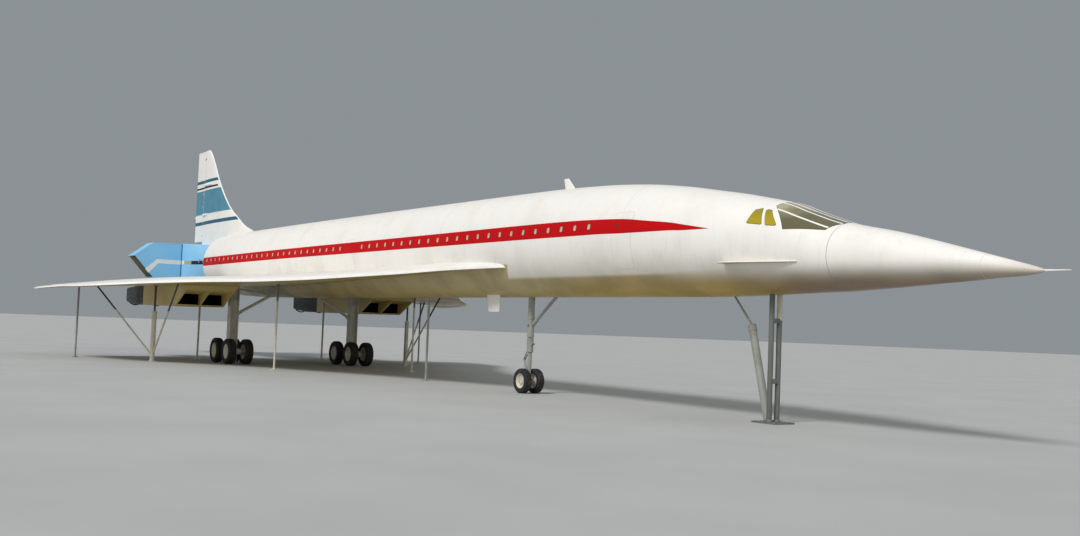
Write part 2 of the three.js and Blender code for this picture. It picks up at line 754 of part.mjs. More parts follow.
function wheelPair(middle, { twinSpacing, wheelRadius, wheelWidth, axleRadius }) {
  const mirrored = WHEEL_PROFILE.map(([r, w]) => [r, -w]).reverse();
  const profile = [...WHEEL_PROFILE, ...mirrored];
  const points = profile.map(([r, w]) => new THREE.Vector2(r * wheelRadius, w * wheelWidth));
  const wheels = [-1, 1].map((side) => {
    const wheel = new THREE.LatheGeometry(points, WHEEL_SIDES);
    wheel.translate(middle.x, middle.y + (side * twinSpacing) / 2, middle.z);
    return wheel;
  });
  return union(...wheels, crossRod(middle, twinSpacing / 2, axleRadius, AXLE_SIDES));
}

// An upright of H section with flanges to either side
function column(station, y, from, to) {
  const [long, wide, thin] = [COLUMN.depth / 2, COLUMN.width / 2, COLUMN.plate / 2];
  const flanges = [-1, 1].map((side) => {
    const outer = y + side * wide;
    return box(station - long, station + long, outer - side * COLUMN.plate, outer, from, to);
  });
  return union(...flanges, box(station - thin, station + thin, y - wide + thin, y + wide - thin, from, to));
}

// Main gear of one side: column, bogie beam, stays and wheels
function buildMainGear(sideName, side) {
  const m = MAIN;
  const y = side * m.y;
  const axleZ = FLOOR + m.wheelRadius;
  const axles = [-1, 1].map((k) => at(m.station + (k * m.wheelbase) / 2, y, axleZ));
  const knee = at(m.station, side * STAY.kneeY, STAY.kneeZ);
  const upright = union(
    column(m.station, y, FLOOR, COLUMN.top),
    rod(at(m.station, y, STAY.foot), knee, STAY.radius),
    rod(at(m.station, y, STAY.head), knee, STAY.linkRadius),
  );
  const frame = union(
    keepLargest(cut(upright, wingSolid(side, FIT))),
    footPlate(m.station, y, COLUMN.foot, COLUMN.footThickness),
    rod(axles[0], axles[1], m.beamRadius, LEG_SIDES),
    ...axles.map((axle) => crossRod(axle, m.bossHalf, m.bossRadius, LEG_SIDES)),
  );
  const bore = bored(m.axleRadius, AXLE_SIDES);
  const bores = axles.map((axle) => crossRod(axle, m.bossHalf + OVERRUN, bore, AXLE_SIDES));
  add(`main_leg_${sideName}`, cut(frame, ...bores), "steel");
  ["front", "rear"].forEach((place, i) => {
    add(`main_wheels_${place}_${sideName}`, wheelPair(axles[i], m), "rubber");
  });
}

// Nose gear: fixed leg with its stay, steered fork, wheels and door
function buildNoseGear() {
  const n = NOSE_GEAR;
  const axle = at(n.station, 0, FLOOR + n.wheelRadius);
  const [mouth, end] = [at(n.station, 0, n.legBottom - OVERRUN), at(n.station, 0, n.postTop)];
  const socket = rod(mouth, end, bored(n.postRadius, AXLE_SIDES), AXLE_SIDES);
  const leg = rod(at(n.station, 0, n.legBottom), at(n.station, 0, n.legTop), n.legRadius, AXLE_SIDES);
  const { from, to, radius } = NOSE_STAY;
  const stay = rod(at(from[0], 0, from[1]), at(to[0], 0, to[1]), radius);
  add("nose_leg", keepLargest(cut(union(leg, stay), fuselageRoom, socket)), "pale");
  const fork = union(
    rod(axle, at(n.station, 0, n.postTop - FIT), n.postRadius, AXLE_SIDES),
    rod(at(n.station, 0, n.collarBottom), at(n.station, 0, n.collarTop), n.collarRadius, AXLE_SIDES),
    crossRod(axle, n.bossHalf, n.bossRadius, AXLE_SIDES),
  );
  const bore = crossRod(axle, n.bossHalf + OVERRUN, bored(n.axleRadius, AXLE_SIDES), AXLE_SIDES);
  add("nose_steering", cut(fork, bore), "pale");
  add("nose_wheels", wheelPair(axle, n), "rubber");
  add("nose_gear_door", keepLargest(cut(prism(NOSE_DOOR, ...NOSE_DOOR_Y), fuselageRoom)), "white");
}

// A point inside the wing, where a post's head is cut off by the wing's underside
function wingHead(station, y) {
  return at(station, y, tableAt(WING, 4, Math.abs(y)) + POST_HEAD);
}

// Posts in pairs under the wings; the rear pair are thick below and braced
function buildWingPosts(sideName, side) {
  const wingRoom = wingSolid(side, FIT);
  for (const [name, station, halfSpan, radius] of WING_POSTS) {
    const y = side * halfSpan;
    const shapes = [
      rod(at(station, y, FLOOR), wingHead(station, y), radius),
      footPlate(station, y, POST_FOOT, POST_FOOT_THICKNESS),
    ];
    if (name === "wing_rear") {
      shapes.push(rod(at(station, y, FLOOR), at(station, y, THICK_POST.height), THICK_POST.radius));
      for (const [aft, out] of BRACE_HEADS) {
        const head = wingHead(station + aft, y + side * out);
        shapes.push(rod(at(station, y, BRACE.foot), head, BRACE.radius));
      }
    }
    add(`post_${name}_${sideName}`, keepLargest(cut(union(...shapes), wingRoom)), "pale");
  }
}

// Posts under the fuselage: a slim one amidships, a pair under the cockpit and its strut
function buildFuselagePosts() {
  const { station, radius, top } = BELLY_POST;
  const belly = union(
    rod(at(station, 0, FLOOR), at(station, 0, top), radius),
    footPlate(station, 0, POST_FOOT, POST_FOOT_THICKNESS),
  );
  add("post_belly", cut(belly, fuselageRoom), "pale");
  const f = FORWARD_POSTS;
  const pair = [-1, 1].map((side) => (
    rod(at(f.station, side * f.y, FLOOR), at(f.station, side * f.y, f.top), f.radius, LEG_SIDES)
  ));
  const plate = FORWARD_FOOT;
  const footTop = FLOOR + plate.thickness;
  const foot = box(plate.from, plate.to, -plate.half, plate.half, FLOOR, footTop);
  add("forward_posts", cut(union(...pair, foot), fuselageRoom), "pale");
  const s = FORWARD_STRUT;
  const strut = union(
    rod(at(s.foot[0], 0, s.foot[1]), at(s.knee[0], 0, s.knee[1]), s.radius, LEG_SIDES),
    rod(at(s.knee[0], 0, s.knee[1]), at(s.top[0], 0, s.top[1]), s.thin, DISC_SIDES),
  );
  const footRoom = box(plate.from, plate.to, -plate.half, plate.half, FLOOR - AMPLE, footTop + FIT);
  add("forward_strut", cut(strut, fuselageRoom, footRoom), "pale");
}

// A cross-section outline of half spans and heights, between two stations
function crossPrism(outline, from, to) {
  const shape = new THREE.Shape(outline.map(([y, z]) => new THREE.Vector2(y, DATUM + z)));
  const geometry = new THREE.ExtrudeGeometry(shape, { depth: to - from, bevelEnabled: false });
  geometry.applyMatrix4(new THREE.Matrix4().makeBasis(TO_PORT, UPWARD, FORWARD));
  geometry.translate(NOSE_X - to, 0, 0);
  return geometry;
}

// Entrance corridor: a box behind the fuselage, and an arm that turns to starboard
function buildCorridor() {
  const { turn, half, roof, floor, wall } = CORRIDOR;
  const inner = half - wall;
  add("entrance_corridor", cut(
    union(box(FUSELAGE_END + FIT, turn + wall, -half, half, floor, roof), crossPrism(ARM, turn, REAR_END)),
    box(FUSELAGE_END - wall, turn + 2 * wall, -inner, inner, floor + wall, roof - wall),
    crossPrism(ARM_INSIDE, turn + wall, REAR_END - wall),
  ), "blue");
}

buildFuselage(buildNose());
buildFin();
buildAntennaAndVanes();
for (const [sideName, side] of SIDES) {
  buildWing(sideName, side);
  buildNacelle(sideName, side);
  buildMainGear(sideName, side);
  buildWingPosts(sideName, side);
}
buildNoseGear();
buildFuselagePosts();
buildCorridor();

export default model;
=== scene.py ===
import json
import math

import bmesh
import bpy
from mathutils import Matrix, Vector


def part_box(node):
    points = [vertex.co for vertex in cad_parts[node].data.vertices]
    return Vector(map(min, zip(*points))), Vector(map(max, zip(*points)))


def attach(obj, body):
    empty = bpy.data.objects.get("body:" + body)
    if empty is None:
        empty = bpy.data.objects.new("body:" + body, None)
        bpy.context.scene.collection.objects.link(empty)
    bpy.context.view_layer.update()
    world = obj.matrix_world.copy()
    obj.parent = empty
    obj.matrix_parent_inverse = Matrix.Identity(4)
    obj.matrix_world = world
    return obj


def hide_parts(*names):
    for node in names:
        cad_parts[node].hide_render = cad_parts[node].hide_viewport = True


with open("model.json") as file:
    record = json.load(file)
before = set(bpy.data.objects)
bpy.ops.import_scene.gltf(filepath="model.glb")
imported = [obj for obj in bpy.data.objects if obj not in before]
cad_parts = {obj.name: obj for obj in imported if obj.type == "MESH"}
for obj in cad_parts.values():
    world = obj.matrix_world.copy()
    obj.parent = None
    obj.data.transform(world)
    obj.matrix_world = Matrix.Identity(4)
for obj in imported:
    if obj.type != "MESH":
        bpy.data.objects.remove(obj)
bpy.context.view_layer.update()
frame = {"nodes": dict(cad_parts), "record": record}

# Places. Metres in the CAD frame; stations run aft from the nose tip, heights from the fuselage datum.
NOSE_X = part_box("radome")[1].x
DATUM = 2.425
FLOOR = -DATUM
TAU = 2 * math.pi
SIDES = (("starboard", -1), ("port", 1))


def at(station, y, z):
    return Vector((NOSE_X - station, y, DATUM + z))


AFT, PORTWARD, UP = Vector((-1, 0, 0)), Vector((0, 1, 0)), Vector((0, 0, 1))
ROD_EDGE = 0.0015

# Fuselage sections: station, crown height, keel height, half width
FUSELAGE = [
    (0.000, -0.564, -0.588, 0.012),
    (0.120, -0.527, -0.616, 0.052),
    (0.290, -0.482, -0.632, 0.088),
    (0.520, -0.422, -0.645, 0.135),
    (0.760, -0.360, -0.664, 0.178),
    (1.265, -0.230, -0.697, 0.270),
    (1.805, -0.100, -0.735, 0.360),
    (2.385, 0.015, -0.768, 0.445),
    (2.535, 0.052, -0.775, 0.466),
    (3.000, 0.203, -0.788, 0.530),
    (3.350, 0.325, -0.800, 0.576),
    (3.865, 0.438, -0.818, 0.632),
    (4.230, 0.510, -0.828, 0.662),
    (4.800, 0.605, -0.835, 0.694),
    (5.420, 0.705, -0.835, 0.712),
    (6.300, 0.805, -0.835, 0.720),
    (7.250, 0.865, -0.835, 0.720),
    (8.700, 0.900, -0.835, 0.720),
    (12.500, 0.915, -0.835, 0.720),
    (17.500, 0.925, -0.835, 0.720),
    (22.000, 0.915, -0.800, 0.720),
    (24.600, 0.875, -0.690, 0.700),
]
RADOME_END = 0.760
NOSE_SPLIT = 2.480
FUSELAGE_END = 24.600
NOSE_TIP_HEIGHT = -0.576
DROOP_AXIS_HEIGHT = -0.760
DROOP_ANGLE = math.radians(12.8)
RUNNING_GAP = 0.008
SKIN_SIDES = 144

# Wing sections: half span, lead station and height, trail station and height, thickness, camber
WING = [
    (0.000, 8.700, -0.350, 22.000, -0.540, 0.300, 0.050),
    (0.650, 9.180, -0.380, 22.000, -0.540, 0.205, 0.075),
    (0.925, 10.550, -0.412, 22.000, -0.540, 0.215, 0.046),
    (1.200, 11.800, -0.470, 22.000, -0.545, 0.225, 0.036),
    (1.550, 13.200, -0.525, 22.000, -0.550, 0.232, 0.035),
    (1.975, 14.550, -0.585, 22.000, -0.560, 0.222, 0.042),
    (2.500, 15.850, -0.628, 22.000, -0.580, 0.205, 0.042),
    (3.100, 17.150, -0.652, 22.000, -0.612, 0.182, 0.040),
    (3.800, 18.300, -0.700, 22.000, -0.662, 0.148, 0.032),
    (4.625, 19.400, -0.778, 22.000, -0.740, 0.103, 0.018),
    (5.080, 20.260, -0.813, 22.000, -0.790, 0.068, 0.006),
    (5.084, 20.270, -0.813, 22.560, -0.804, 0.068, 0.006),
    (5.300, 21.100, -0.840, 22.420, -0.832, 0.046, 0.002),
    (5.375, 21.800, -0.855, 22.300, -0.850, 0.030, 0.000),
]
# Half thickness along a chord, as a share of the full thickness
CHORD = [
    (0, 0), (0.004, 0.05), (0.03, 0.16), (0.12, 0.33), (0.32, 0.47), (0.58, 0.5), (0.82, 0.42), (1, 0.16),
]
CAMBER_POWER = 0.31
WING_TRAIL = 22.000
ELEVON_HINGE = 22.075
# Elevons: inner and outer half span
ELEVONS = [(0.720, 1.680), (2.900, 4.000), (4.020, 5.060)]
LUG_SHARES = (0.14, 0.86)

# Fin sections: height, lead station, thickness
FIN = [
    (0.7803, 22.300, 0.150),
    (0.930, 22.700, 0.150),
    (1.100, 23.350, 0.145),
    (1.360, 23.950, 0.135),
    (1.685, 24.630, 0.122),
    (2.420, 25.570, 0.095),
    (3.440, 26.560, 0.055),
    (3.500, 26.680, 0.050),
]
RUDDER = {"base": 27.045, "top": 27.120, "nose": 0.085, "trail": 27.710, "trail_half": 0.004}
RUDDERS = {"lower": (0.830, 2.030), "upper": (2.042, 3.440)}
TRAIL_SHARE = 0.16

# Camera: place in front of and beside the nose, heading, pitch and roll, and the lens
CAMERA_AHEAD = 6.821
CAMERA_Y = -10.634
CAMERA_HEIGHT = 1.061
CAMERA_HEADING = 0.589
CAMERA_PITCH = 0.053
CAMERA_ROLL = 0.039
CAMERA_LENS = 38.68


# Smooth curves through the rows of a table

def slopes(xs, ys):
    """Slopes of a curve through the points that never overshoots them."""
    count = len(xs)
    steps = [(ys[i + 1] - ys[i]) / (xs[i + 1] - xs[i]) for i in range(count - 1)]
    found = [steps[0]]
    for before, after in zip(steps, steps[1:]):
        found.append(0.0 if before * after <= 0 else 2 * before * after / (before + after))
    found.append(steps[-1])
    return found


class Curve:
    """A smooth curve through one column of a table, against its first column."""

    def __init__(self, table, column):
        self.xs = [row[0] for row in table]
        self.ys = [row[column] for row in table]
        self.slopes = slopes(self.xs, self.ys)

    def __call__(self, x):
        xs = self.xs
        if x <= xs[0]:
            return self.ys[0]
        if x >= xs[-1]:
            return self.ys[-1]
        k = next(i for i in range(len(xs) - 1) if xs[i + 1] >= x)
        width = xs[k + 1] - xs[k]
        t = (x - xs[k]) / width
        return (
            self.ys[k] * (1 + 2 * t) * (1 - t) ** 2
            + self.slopes[k] * width * t * (1 - t) ** 2
            + self.ys[k + 1] * t * t * (3 - 2 * t)
            + self.slopes[k + 1] * width * t * t * (t - 1)
        )


crown_at, keel_at, half_at = (Curve(FUSELAGE, k) for k in (1, 2, 3))
WING_CURVES = [Curve(WING, k) for k in range(1, 7)]
FIN_LEAD, FIN_THICKNESS = Curve(FIN, 1), Curve(FIN, 2)
chord_half = Curve(CHORD, 1)


def skin_point(station, angle, proud=0.0):
    """A point on the fuselage skin; angle 0 is port, a quarter turn is the crown."""
    crown, keel = crown_at(station) + proud, keel_at(station) - proud
    y = (half_at(station) + proud) * math.cos(angle)
    return at(station, y, (crown + keel) / 2 + (crown - keel) / 2 * math.sin(angle))


def skin_angle(station, height, side):
    """The angle of the skin point at that height, on that side."""
    crown, keel = crown_at(station), keel_at(station)
    share = (height - (crown + keel) / 2) / ((crown - keel) / 2)
    rise = math.asin(max(-1.0, min(1.0, share)))
    return rise if side > 0 else math.pi - rise


def spread(low, high, count):
    return [low + (high - low) * i / (count - 1) for i in range(count)]


def between(first, second, share):
    return tuple(a + (b - a) * share for a, b in zip(first, second))


# Meshes

def loft(rings, loop=False):
    """Points and faces of a skin through rings of equal length; its ends are closed unless it loops."""
    count = len(rings[0])
    points = [p for ring in rings for p in ring]
    faces = []
    for r in range(len(rings) if loop else len(rings) - 1):
        a, b = r * count, (r + 1) % len(rings) * count
        for i in range(count):
            j = (i + 1) % count
            faces.append((a + i, a + j, b + j, b + i))
    if not loop:
        faces.append(tuple(reversed(range(count))))
        faces.append(tuple(range(len(points) - count, len(points))))
    return points, faces


def plate(ring, thickness):
    """A flat or curved outline made solid along one direction."""
    return loft([ring, [p + thickness for p in ring]])


def box(s0, s1, y0, y1, z0, z1):
    ring = [at(s, y, z0) for s, y in ((s0, y0), (s1, y0), (s1, y1), (s0, y1))]
    return plate(ring, UP * (z1 - z0))


def pad(s, y, half, z0, z1):
    """A square block round an upright line."""
    return box(s - half, s + half, y - half, y + half, z0, z1)


def turned(start, direction, profile, sides=32, loop=False):
    """A turned body: the profile gives distances along the direction, and radii."""
    direction = direction.normalized()
    across = direction.orthogonal().normalized()
    around = direction.cross(across)
    rings = []
    for along, radius in profile:
        middle = start + direction * along
        turns = (TAU * i / sides for i in range(sides))
        rings.append([middle + (across * math.cos(t) + around * math.sin(t)) * radius for t in turns])
    return loft(rings, loop=loop)


def stepped(length, radius, end_radius, edge):
    """The profile of a bar that is narrower at both ends."""
    return [(0, end_radius), (edge, radius), (length - edge, radius), (length, end_radius)]


def rod(start, end, radius, sides=28):
    """A round bar with a small chamfer at both ends."""
    profile = stepped((end - start).length, radius, radius - ROD_EDGE, ROD_EDGE)
    return turned(start, end - start, profile, sides)


def drum(middle, direction, length, radius, end_radius, edge, sides):
    """A short turned bar about its middle."""
    profile = stepped(length, radius, end_radius, edge)
    return turned(middle - direction * (length / 2), direction, profile, sides)


def bolts(places, radius=0.008, height=0.008):
    """Upright hexagon bolt heads with washers."""
    washer, top = radius * 1.5, height + 0.001
    profile = [(0, washer), (0.002, washer), (0.002, radius), (height, radius), (top, radius * 0.8)]
    return merge([turned(place, UP, profile, 6) for place in places])


def four_places(s, y, z, along, across):
    """The four places round one, at a distance along and across the aircraft."""
    return [at(s + i * along, y + j * across, z) for i in (-1, 1) for j in (-1, 1)]


def merge(parts):
    """One list of points and faces from several."""
    points, faces = [], []
    for some_points, some_faces in parts:
        start = len(points)
        points.extend(some_points)
        faces.extend(tuple(i + start for i in face) for face in some_faces)
    return points, faces


def add_object(name, data):
    obj = bpy.data.objects.new(name, data)
    bpy.context.scene.collection.objects.link(obj)
    return obj


def piece(name, groups, replaces=(), angle=35.0, bevel=0.0, body="airframe"):
    """A visible piece. Groups pair a material's name with parts; edges steeper than the angle stay sharp."""
    points, faces, indices = [], [], []
    mesh = bpy.data.meshes.new(name)
    for k, (material, parts) in enumerate(groups):
        some_points, some_faces = merge(parts)
        faces.extend(tuple(i + len(points) for i in face) for face in some_faces)
        points.extend(some_points)
        indices.extend([k] * len(some_faces))
        mesh.materials.append(MATERIALS[material])
    mesh.from_pydata([tuple(p) for p in points], [], faces)
    for polygon, k in zip(mesh.polygons, indices):
        polygon.material_index = k
    work = bmesh.new()
    work.from_mesh(mesh)
    bmesh.ops.recalc_face_normals(work, faces=work.faces)
    limit = math.radians(angle)
    if bevel:
        steep = [e for e in work.edges if len(e.link_faces) == 2 and e.calc_face_angle(0.0) > limit]
        bmesh.ops.bevel(work, geom=steep, offset=bevel, segments=2, profile=0.6, affect="EDGES")
    for edge in work.edges:
        edge.smooth = not (len(edge.link_faces) == 2 and edge.calc_face_angle(0.0) > limit)
    for face in work.faces:
        face.smooth = True
    work.to_mesh(mesh)
    work.free()
    obj = add_object(name, mesh)
    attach(obj, body)
    if replaces:
        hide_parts(*replaces)


# Outlines in side view, as stations and heights, laid on the fuselage skin
CORNER_STEPS = 5
# The outline of a sheet on the skin stops short of its lowest and highest point by this share of its height
SHEET_INSET = 1e-4
LONGEST_STEP = 0.04
BAND_DEPTH = 0.004
RING_SEAM_WIDTH, RING_SEAM_PROUD, RING_SEAM_DEPTH = 0.004, 0.0012, 0.0042


def corners_of(outline, margin):
    """Each corner, the ways to its neighbours, half their angle, and the corner moved in by a margin."""
    for i, corner in enumerate(outline):
        here = Vector(corner)
        before = (Vector(outline[i - 1]) - here).normalized()
        after = (Vector(outline[(i + 1) % len(outline)]) - here).normalized()
        half_turn = before.angle(after) / 2
        middle = here + (before + after).normalized() * (margin / math.sin(half_turn))
        yield here, before, after, half_turn, middle


def drawn_in(outline, margin):
    """A convex outline with every side moved in by a margin."""
    return [tuple(middle) for *_, middle in corners_of(outline, margin)]


def rounded(outline, radius):
    """A convex outline with round corners."""
    points = []
    for here, before, after, half_turn, middle in corners_of(outline, radius):
        reach = radius / math.tan(half_turn)
        first, last = here + before * reach - middle, here + after * reach - middle
        for k in range(CORNER_STEPS + 1):
            points.append(tuple(middle + first.lerp(last, k / CORNER_STEPS).normalized() * radius))
    return points


def rectangle(s0, s1, z0, z1, radius):
    return rounded([(s0, z0), (s1, z0), (s1, z1), (s0, z1)], radius)


def grown(outline, margin):
    """A convex outline moved out from its middle by about a margin on every side."""
    middle = [sum(p[k] for p in outline) / len(outline) for k in (0, 1)]
    reach = [max(abs(p[k] - middle[k]) for p in outline) for k in (0, 1)]
    return [tuple(middle[k] + (p[k] - middle[k]) * (1 + margin / reach[k]) for k in (0, 1)) for p in outline]


def crossings(outline, height):
    """The lowest and highest station of a convex outline at a height."""
    found = []
    for (s0, z0), (s1, z1) in zip(outline, outline[1:] + outline[:1]):
        if min(z0, z1) <= height <= max(z0, z1):
            share = 0.0 if z0 == z1 else (height - z0) / (z1 - z0)
            found.append(s0 + (s1 - s0) * share)
            if z0 == z1:
                found.append(s1)
    return min(found), max(found)


def sheet_ring(point, places, proud, depth):
    """One ring of a closed thin sheet: along its outer face, and back along its inner face."""
    outer = [point(*place, proud) for place in places]
    return outer + [point(*place, proud - depth) for place in reversed(places)]


def side_ring(places, side, proud, depth):
    """A sheet's ring on one side of the fuselage, through stations and heights."""
    return sheet_ring(skin_point, [(s, skin_angle(s, z, side)) for s, z in places], proud, depth)


def skin_sheet(outline, side, proud, depth, rows, columns):
    """A closed sheet on the skin, filled row by row between the outline's two sides."""
    low, high = min(p[1] for p in outline), max(p[1] for p in outline)
    inset = (high - low) * SHEET_INSET
    rings = []
    for height in spread(low + inset, high - inset, rows):
        stations = spread(*crossings(outline, height), columns)
        rings.append(side_ring([(s, height) for s in stations], side, proud, depth))
    return loft(rings)


def skin_band(outline, side, width, proud):
    """A closed ribbon along an outline on the skin, as wide as given towards the outline's middle."""
    pairs = zip(outline, grown(outline, -width))
    return loft([side_ring(pair, side, proud, BAND_DEPTH) for pair in pairs], loop=True)


def split_long(outline):
    """The outline with more points on its long sides."""
    points = []
    for first, last in zip(outline, outline[1:] + outline[:1]):
        steps = max(1, math.ceil(math.dist(first, last) / LONGEST_STEP))
        points.extend(between(first, last, k / steps) for k in range(steps))
    return points


def skin_ring_seam(station, angles):
    """A thin dark line around the skin at a station, between two angles."""
    rings = []
    for angle in spread(*angles, 72):
        places = [(station, angle), (station + RING_SEAM_WIDTH, angle)]
        rings.append(sheet_ring(skin_point, places, RING_SEAM_PROUD, RING_SEAM_DEPTH))
    return loft(rings)


# Material nodes

def node(tree, kind, **values):
    made = tree.nodes.new(kind)
    for name, value in values.items():
        setattr(made, name, value)
    return made


def link(tree, source, target):
    """Give a socket a colour, a number or what another socket gives."""
    if isinstance(source, tuple):
        target.default_value = (*source, 1.0)
    elif isinstance(source, (int, float)):
        target.default_value = source
    else:
        tree.links.new(source, target)


def fill(tree, made, values):
    """Give several inputs of a node what link gives one."""
    for name, value in values.items():
        link(tree, value, made.inputs[name])


def math_node(tree, operation, first, second=0.0):
    made = node(tree, "ShaderNodeMath", operation=operation)
    link(tree, first, made.inputs[0])
    link(tree, second, made.inputs[1])
    return made.outputs[0]


def times(tree, first, second):
    return math_node(tree, "MULTIPLY", first, second)


def plus(tree, first, second):
    return math_node(tree, "ADD", first, second)


def minus(tree, first, second):
    return math_node(tree, "SUBTRACT", first, second)


def larger(tree, first, second):
    return math_node(tree, "MAXIMUM", first, second)


def noise_node(tree, vector, scale, detail, stretch=(1, 1, 1)):
    mapping = node(tree, "ShaderNodeMapping")
    mapping.inputs["Scale"].default_value = stretch
    link(tree, vector, mapping.inputs["Vector"])
    noise = node(tree, "ShaderNodeTexNoise")
    fill(tree, noise, {"Scale": scale, "Detail": detail, "Vector": mapping.outputs[0]})
    return noise.outputs["Fac"]


def ramp(tree, value, low, high, to_low=0.0, to_high=1.0):
    made = node(tree, "ShaderNodeMapRange", interpolation_type="SMOOTHSTEP")
    fill(tree, made, {"Value": value, "From Min": low, "From Max": high, "To Min": to_low, "To Max": to_high})
    return made.outputs["Result"]


def mix_colour(tree, share, first, second):
    made = node(tree, "ShaderNodeMix", data_type="RGBA")
    for name, value in (("A", first), ("B", second)):
        link(tree, value, next(s for s in made.inputs if s.name == name and s.type == "RGBA"))
    link(tree, share, made.inputs["Factor"])
    return next(s for s in made.outputs if s.type == "RGBA")


def darker(tree, colour, value):
    made = node(tree, "ShaderNodeHueSaturation")
    fill(tree, made, {"Value": value, "Color": colour})
    return made.outputs[0]


def along_stations(tree, x, stops):
    """A colour that changes from stop to stop, given as stations and colours."""
    colour = stops[0][1]
    for (before, _), (after, next_colour) in zip(stops, stops[1:]):
        share = ramp(tree, x, NOSE_X - after, NOSE_X - before, 1.0, 0.0)
        colour = mix_colour(tree, share, colour, next_colour)
    return colour


def line_mask(tree, value, pitch, width, offset=0.0):
    """1 on thin lines every pitch along a value, 0 between them."""
    shifted = plus(tree, value, offset)
    share = math_node(tree, "FRACT", math_node(tree, "DIVIDE", shifted, pitch))
    distance = math_node(tree, "ABSOLUTE", minus(tree, share, 0.5))
    return ramp(tree, distance, 0.0, width / pitch, 1.0, 0.0)


def start_material(name):
    material = bpy.data.materials.new(name)
    material.use_nodes = True
    tree = material.node_tree
    shader = tree.nodes["Principled BSDF"]
    coordinates = node(tree, "ShaderNodeTexCoord").outputs["Object"]
    return material, tree, shader, coordinates


def axes_of(tree, vector):
    split = node(tree, "ShaderNodeSeparateXYZ")
    link(tree, vector, split.inputs[0])
    return split.outputs


def add_bump(tree, shader, height, distance, strength):
    bump = node(tree, "ShaderNodeBump")
    fill(tree, bump, {"Strength": strength, "Distance": distance, "Height": height})
    link(tree, bump.outputs["Normal"], shader.inputs["Normal"])


# Where the painted shadow under the wing starts behind the wing's root: a raking line, and a height that
# falls aft
ROOT_STATION = 9.100
ROOT_HEIGHT = -0.380
ROOT_RAKE = 0.667
UNDER_WING_HEIGHT = -0.331
UNDER_WING_FALL = 0.0154
# Half the height over which one of these colours turns into the other
LINE_BLUR = 0.01
# Share of the underside's painted shade that the fuselage's downward-facing flanks take, with some dirt
FLANK_SHADE_AND_SOIL = 0.32


def belly_mask(tree, split, low, high, wing_root):
    """1 under a height on the fuselage and, behind the wing's root, under the wing."""
    # Painted shade: below the belly line, and behind the wing's root under the wing, where the wing's shadow
    # falls
    below = ramp(tree, split["Z"], DATUM + low, DATUM + high, 1.0, 0.0)
    if not wing_root:
        return below
    soft = ramp(tree, split["Z"], DATUM + SOFT_LINE[0], DATUM + SOFT_LINE[1], 1.0, 0.0)
    aft = ramp(tree, split["X"], NOSE_X - SOFT_STATIONS[1], NOSE_X - SOFT_STATIONS[0], 1.0, 0.0)
    below = plus(tree, times(tree, below, aft),
                      times(tree, soft, minus(tree, 1.0, aft)))
    raked = minus(tree, times(tree, split["Z"], ROOT_RAKE), split["X"])
    start = ROOT_STATION - NOSE_X + ROOT_RAKE * (ROOT_HEIGHT + DATUM)
    behind = ramp(tree, raked, start - LINE_BLUR, start + LINE_BLUR)
    falling = minus(tree, split["Z"], times(tree, split["X"], UNDER_WING_FALL))
    line = DATUM + UNDER_WING_HEIGHT + UNDER_WING_FALL * (ROOT_STATION - NOSE_X)
    under_wing = ramp(tree, falling, line - LINE_BLUR, line + LINE_BLUR, 1.0, 0.0)
    return larger(tree, below, times(tree, behind, under_wing))


def paint(name, base, worn, roughness=0.4, lines=(), under=None, belly=None, scale=1.0, seam=0.45,
          above=None, gloss=0.5):
    """Painted metal: worn patches, rain streaks and panel lines.

    lines holds (axis, pitch, offset); under holds the colours of faces that look down, along the stations:
    painted shade with the ground's colour painted in as its reflection;
    belly holds the heights between which the fuselage takes this painted shade and whether the wing's root
    counts, where the wing's shadow is painted;
    above pairs a height over the datum with the colour past it.
    """
    material, tree, shader, coordinates = start_material(name)
    split = axes_of(tree, coordinates)
    patches = noise_node(tree, coordinates, 1.6 * scale, 5.0)
    streaks = noise_node(tree, coordinates, 3.0 * scale, 4.0, (6.0, 6.0, 0.7))
    grime = times(tree, ramp(tree, patches, 0.42, 0.7), 0.5)
    grime = plus(tree, grime, times(tree, ramp(tree, streaks, 0.5, 0.75), 0.35))
    colour = mix_colour(tree, grime, base, worn)
    if above:
        past = ramp(tree, split["Z"], DATUM + above[0] - 0.004, DATUM + above[0] + 0.004)
        colour = mix_colour(tree, past, colour, above[1])
    if under:
        # Faces that look down take painted shade and painted reflection of the ground, darkened in patches by
        # dirt; on the fuselage only part of it above the belly line
        facing = node(tree, "ShaderNodeNewGeometry").outputs["Normal"]
        down = ramp(tree, axes_of(tree, facing)["Z"], -0.85, -0.10, 1.0, 0.0)
        if belly:
            flank_shade_and_soil = times(tree, down, FLANK_SHADE_AND_SOIL)
            down = larger(tree, flank_shade_and_soil, belly_mask(tree, split, *belly))
        tan = along_stations(tree, split["X"], under)
        if belly:
            level = ramp(tree, split["Z"], DATUM + NEAR_HEIGHTS[0], DATUM + NEAR_HEIGHTS[1], 0.0, 0.5)
            tan = mix_colour(tree, level, tan, NEAR_LINE)
        shade_and_dirt = mix_colour(tree, ramp(tree, patches, 0.4, 0.65), tan, darker(tree, tan, 0.82))
        colour = mix_colour(tree, down, colour, shade_and_dirt)
    height = noise_node(tree, coordinates, 40.0 * scale, 2.0)
    if lines:
        masks = [line_mask(tree, split[axis], pitch, 0.004, offset) for axis, pitch, offset in lines]
        seams = masks[0]
        for mask in masks[1:]:
            seams = larger(tree, seams, mask)
        shade = times(tree, seams, seam)
        colour = mix_colour(tree, shade, colour, darker(tree, colour, 0.45))
        height = minus(tree, times(tree, height, 0.15), seams)
    fill(tree, shader, {
        "Base Color": colour,
        "Roughness": ramp(tree, patches, 0.3, 0.7, roughness - 0.06, roughness + 0.1),
        "Specular IOR Level": gloss,
    })
    add_bump(tree, shader, height, 0.002, 0.35)
    return material


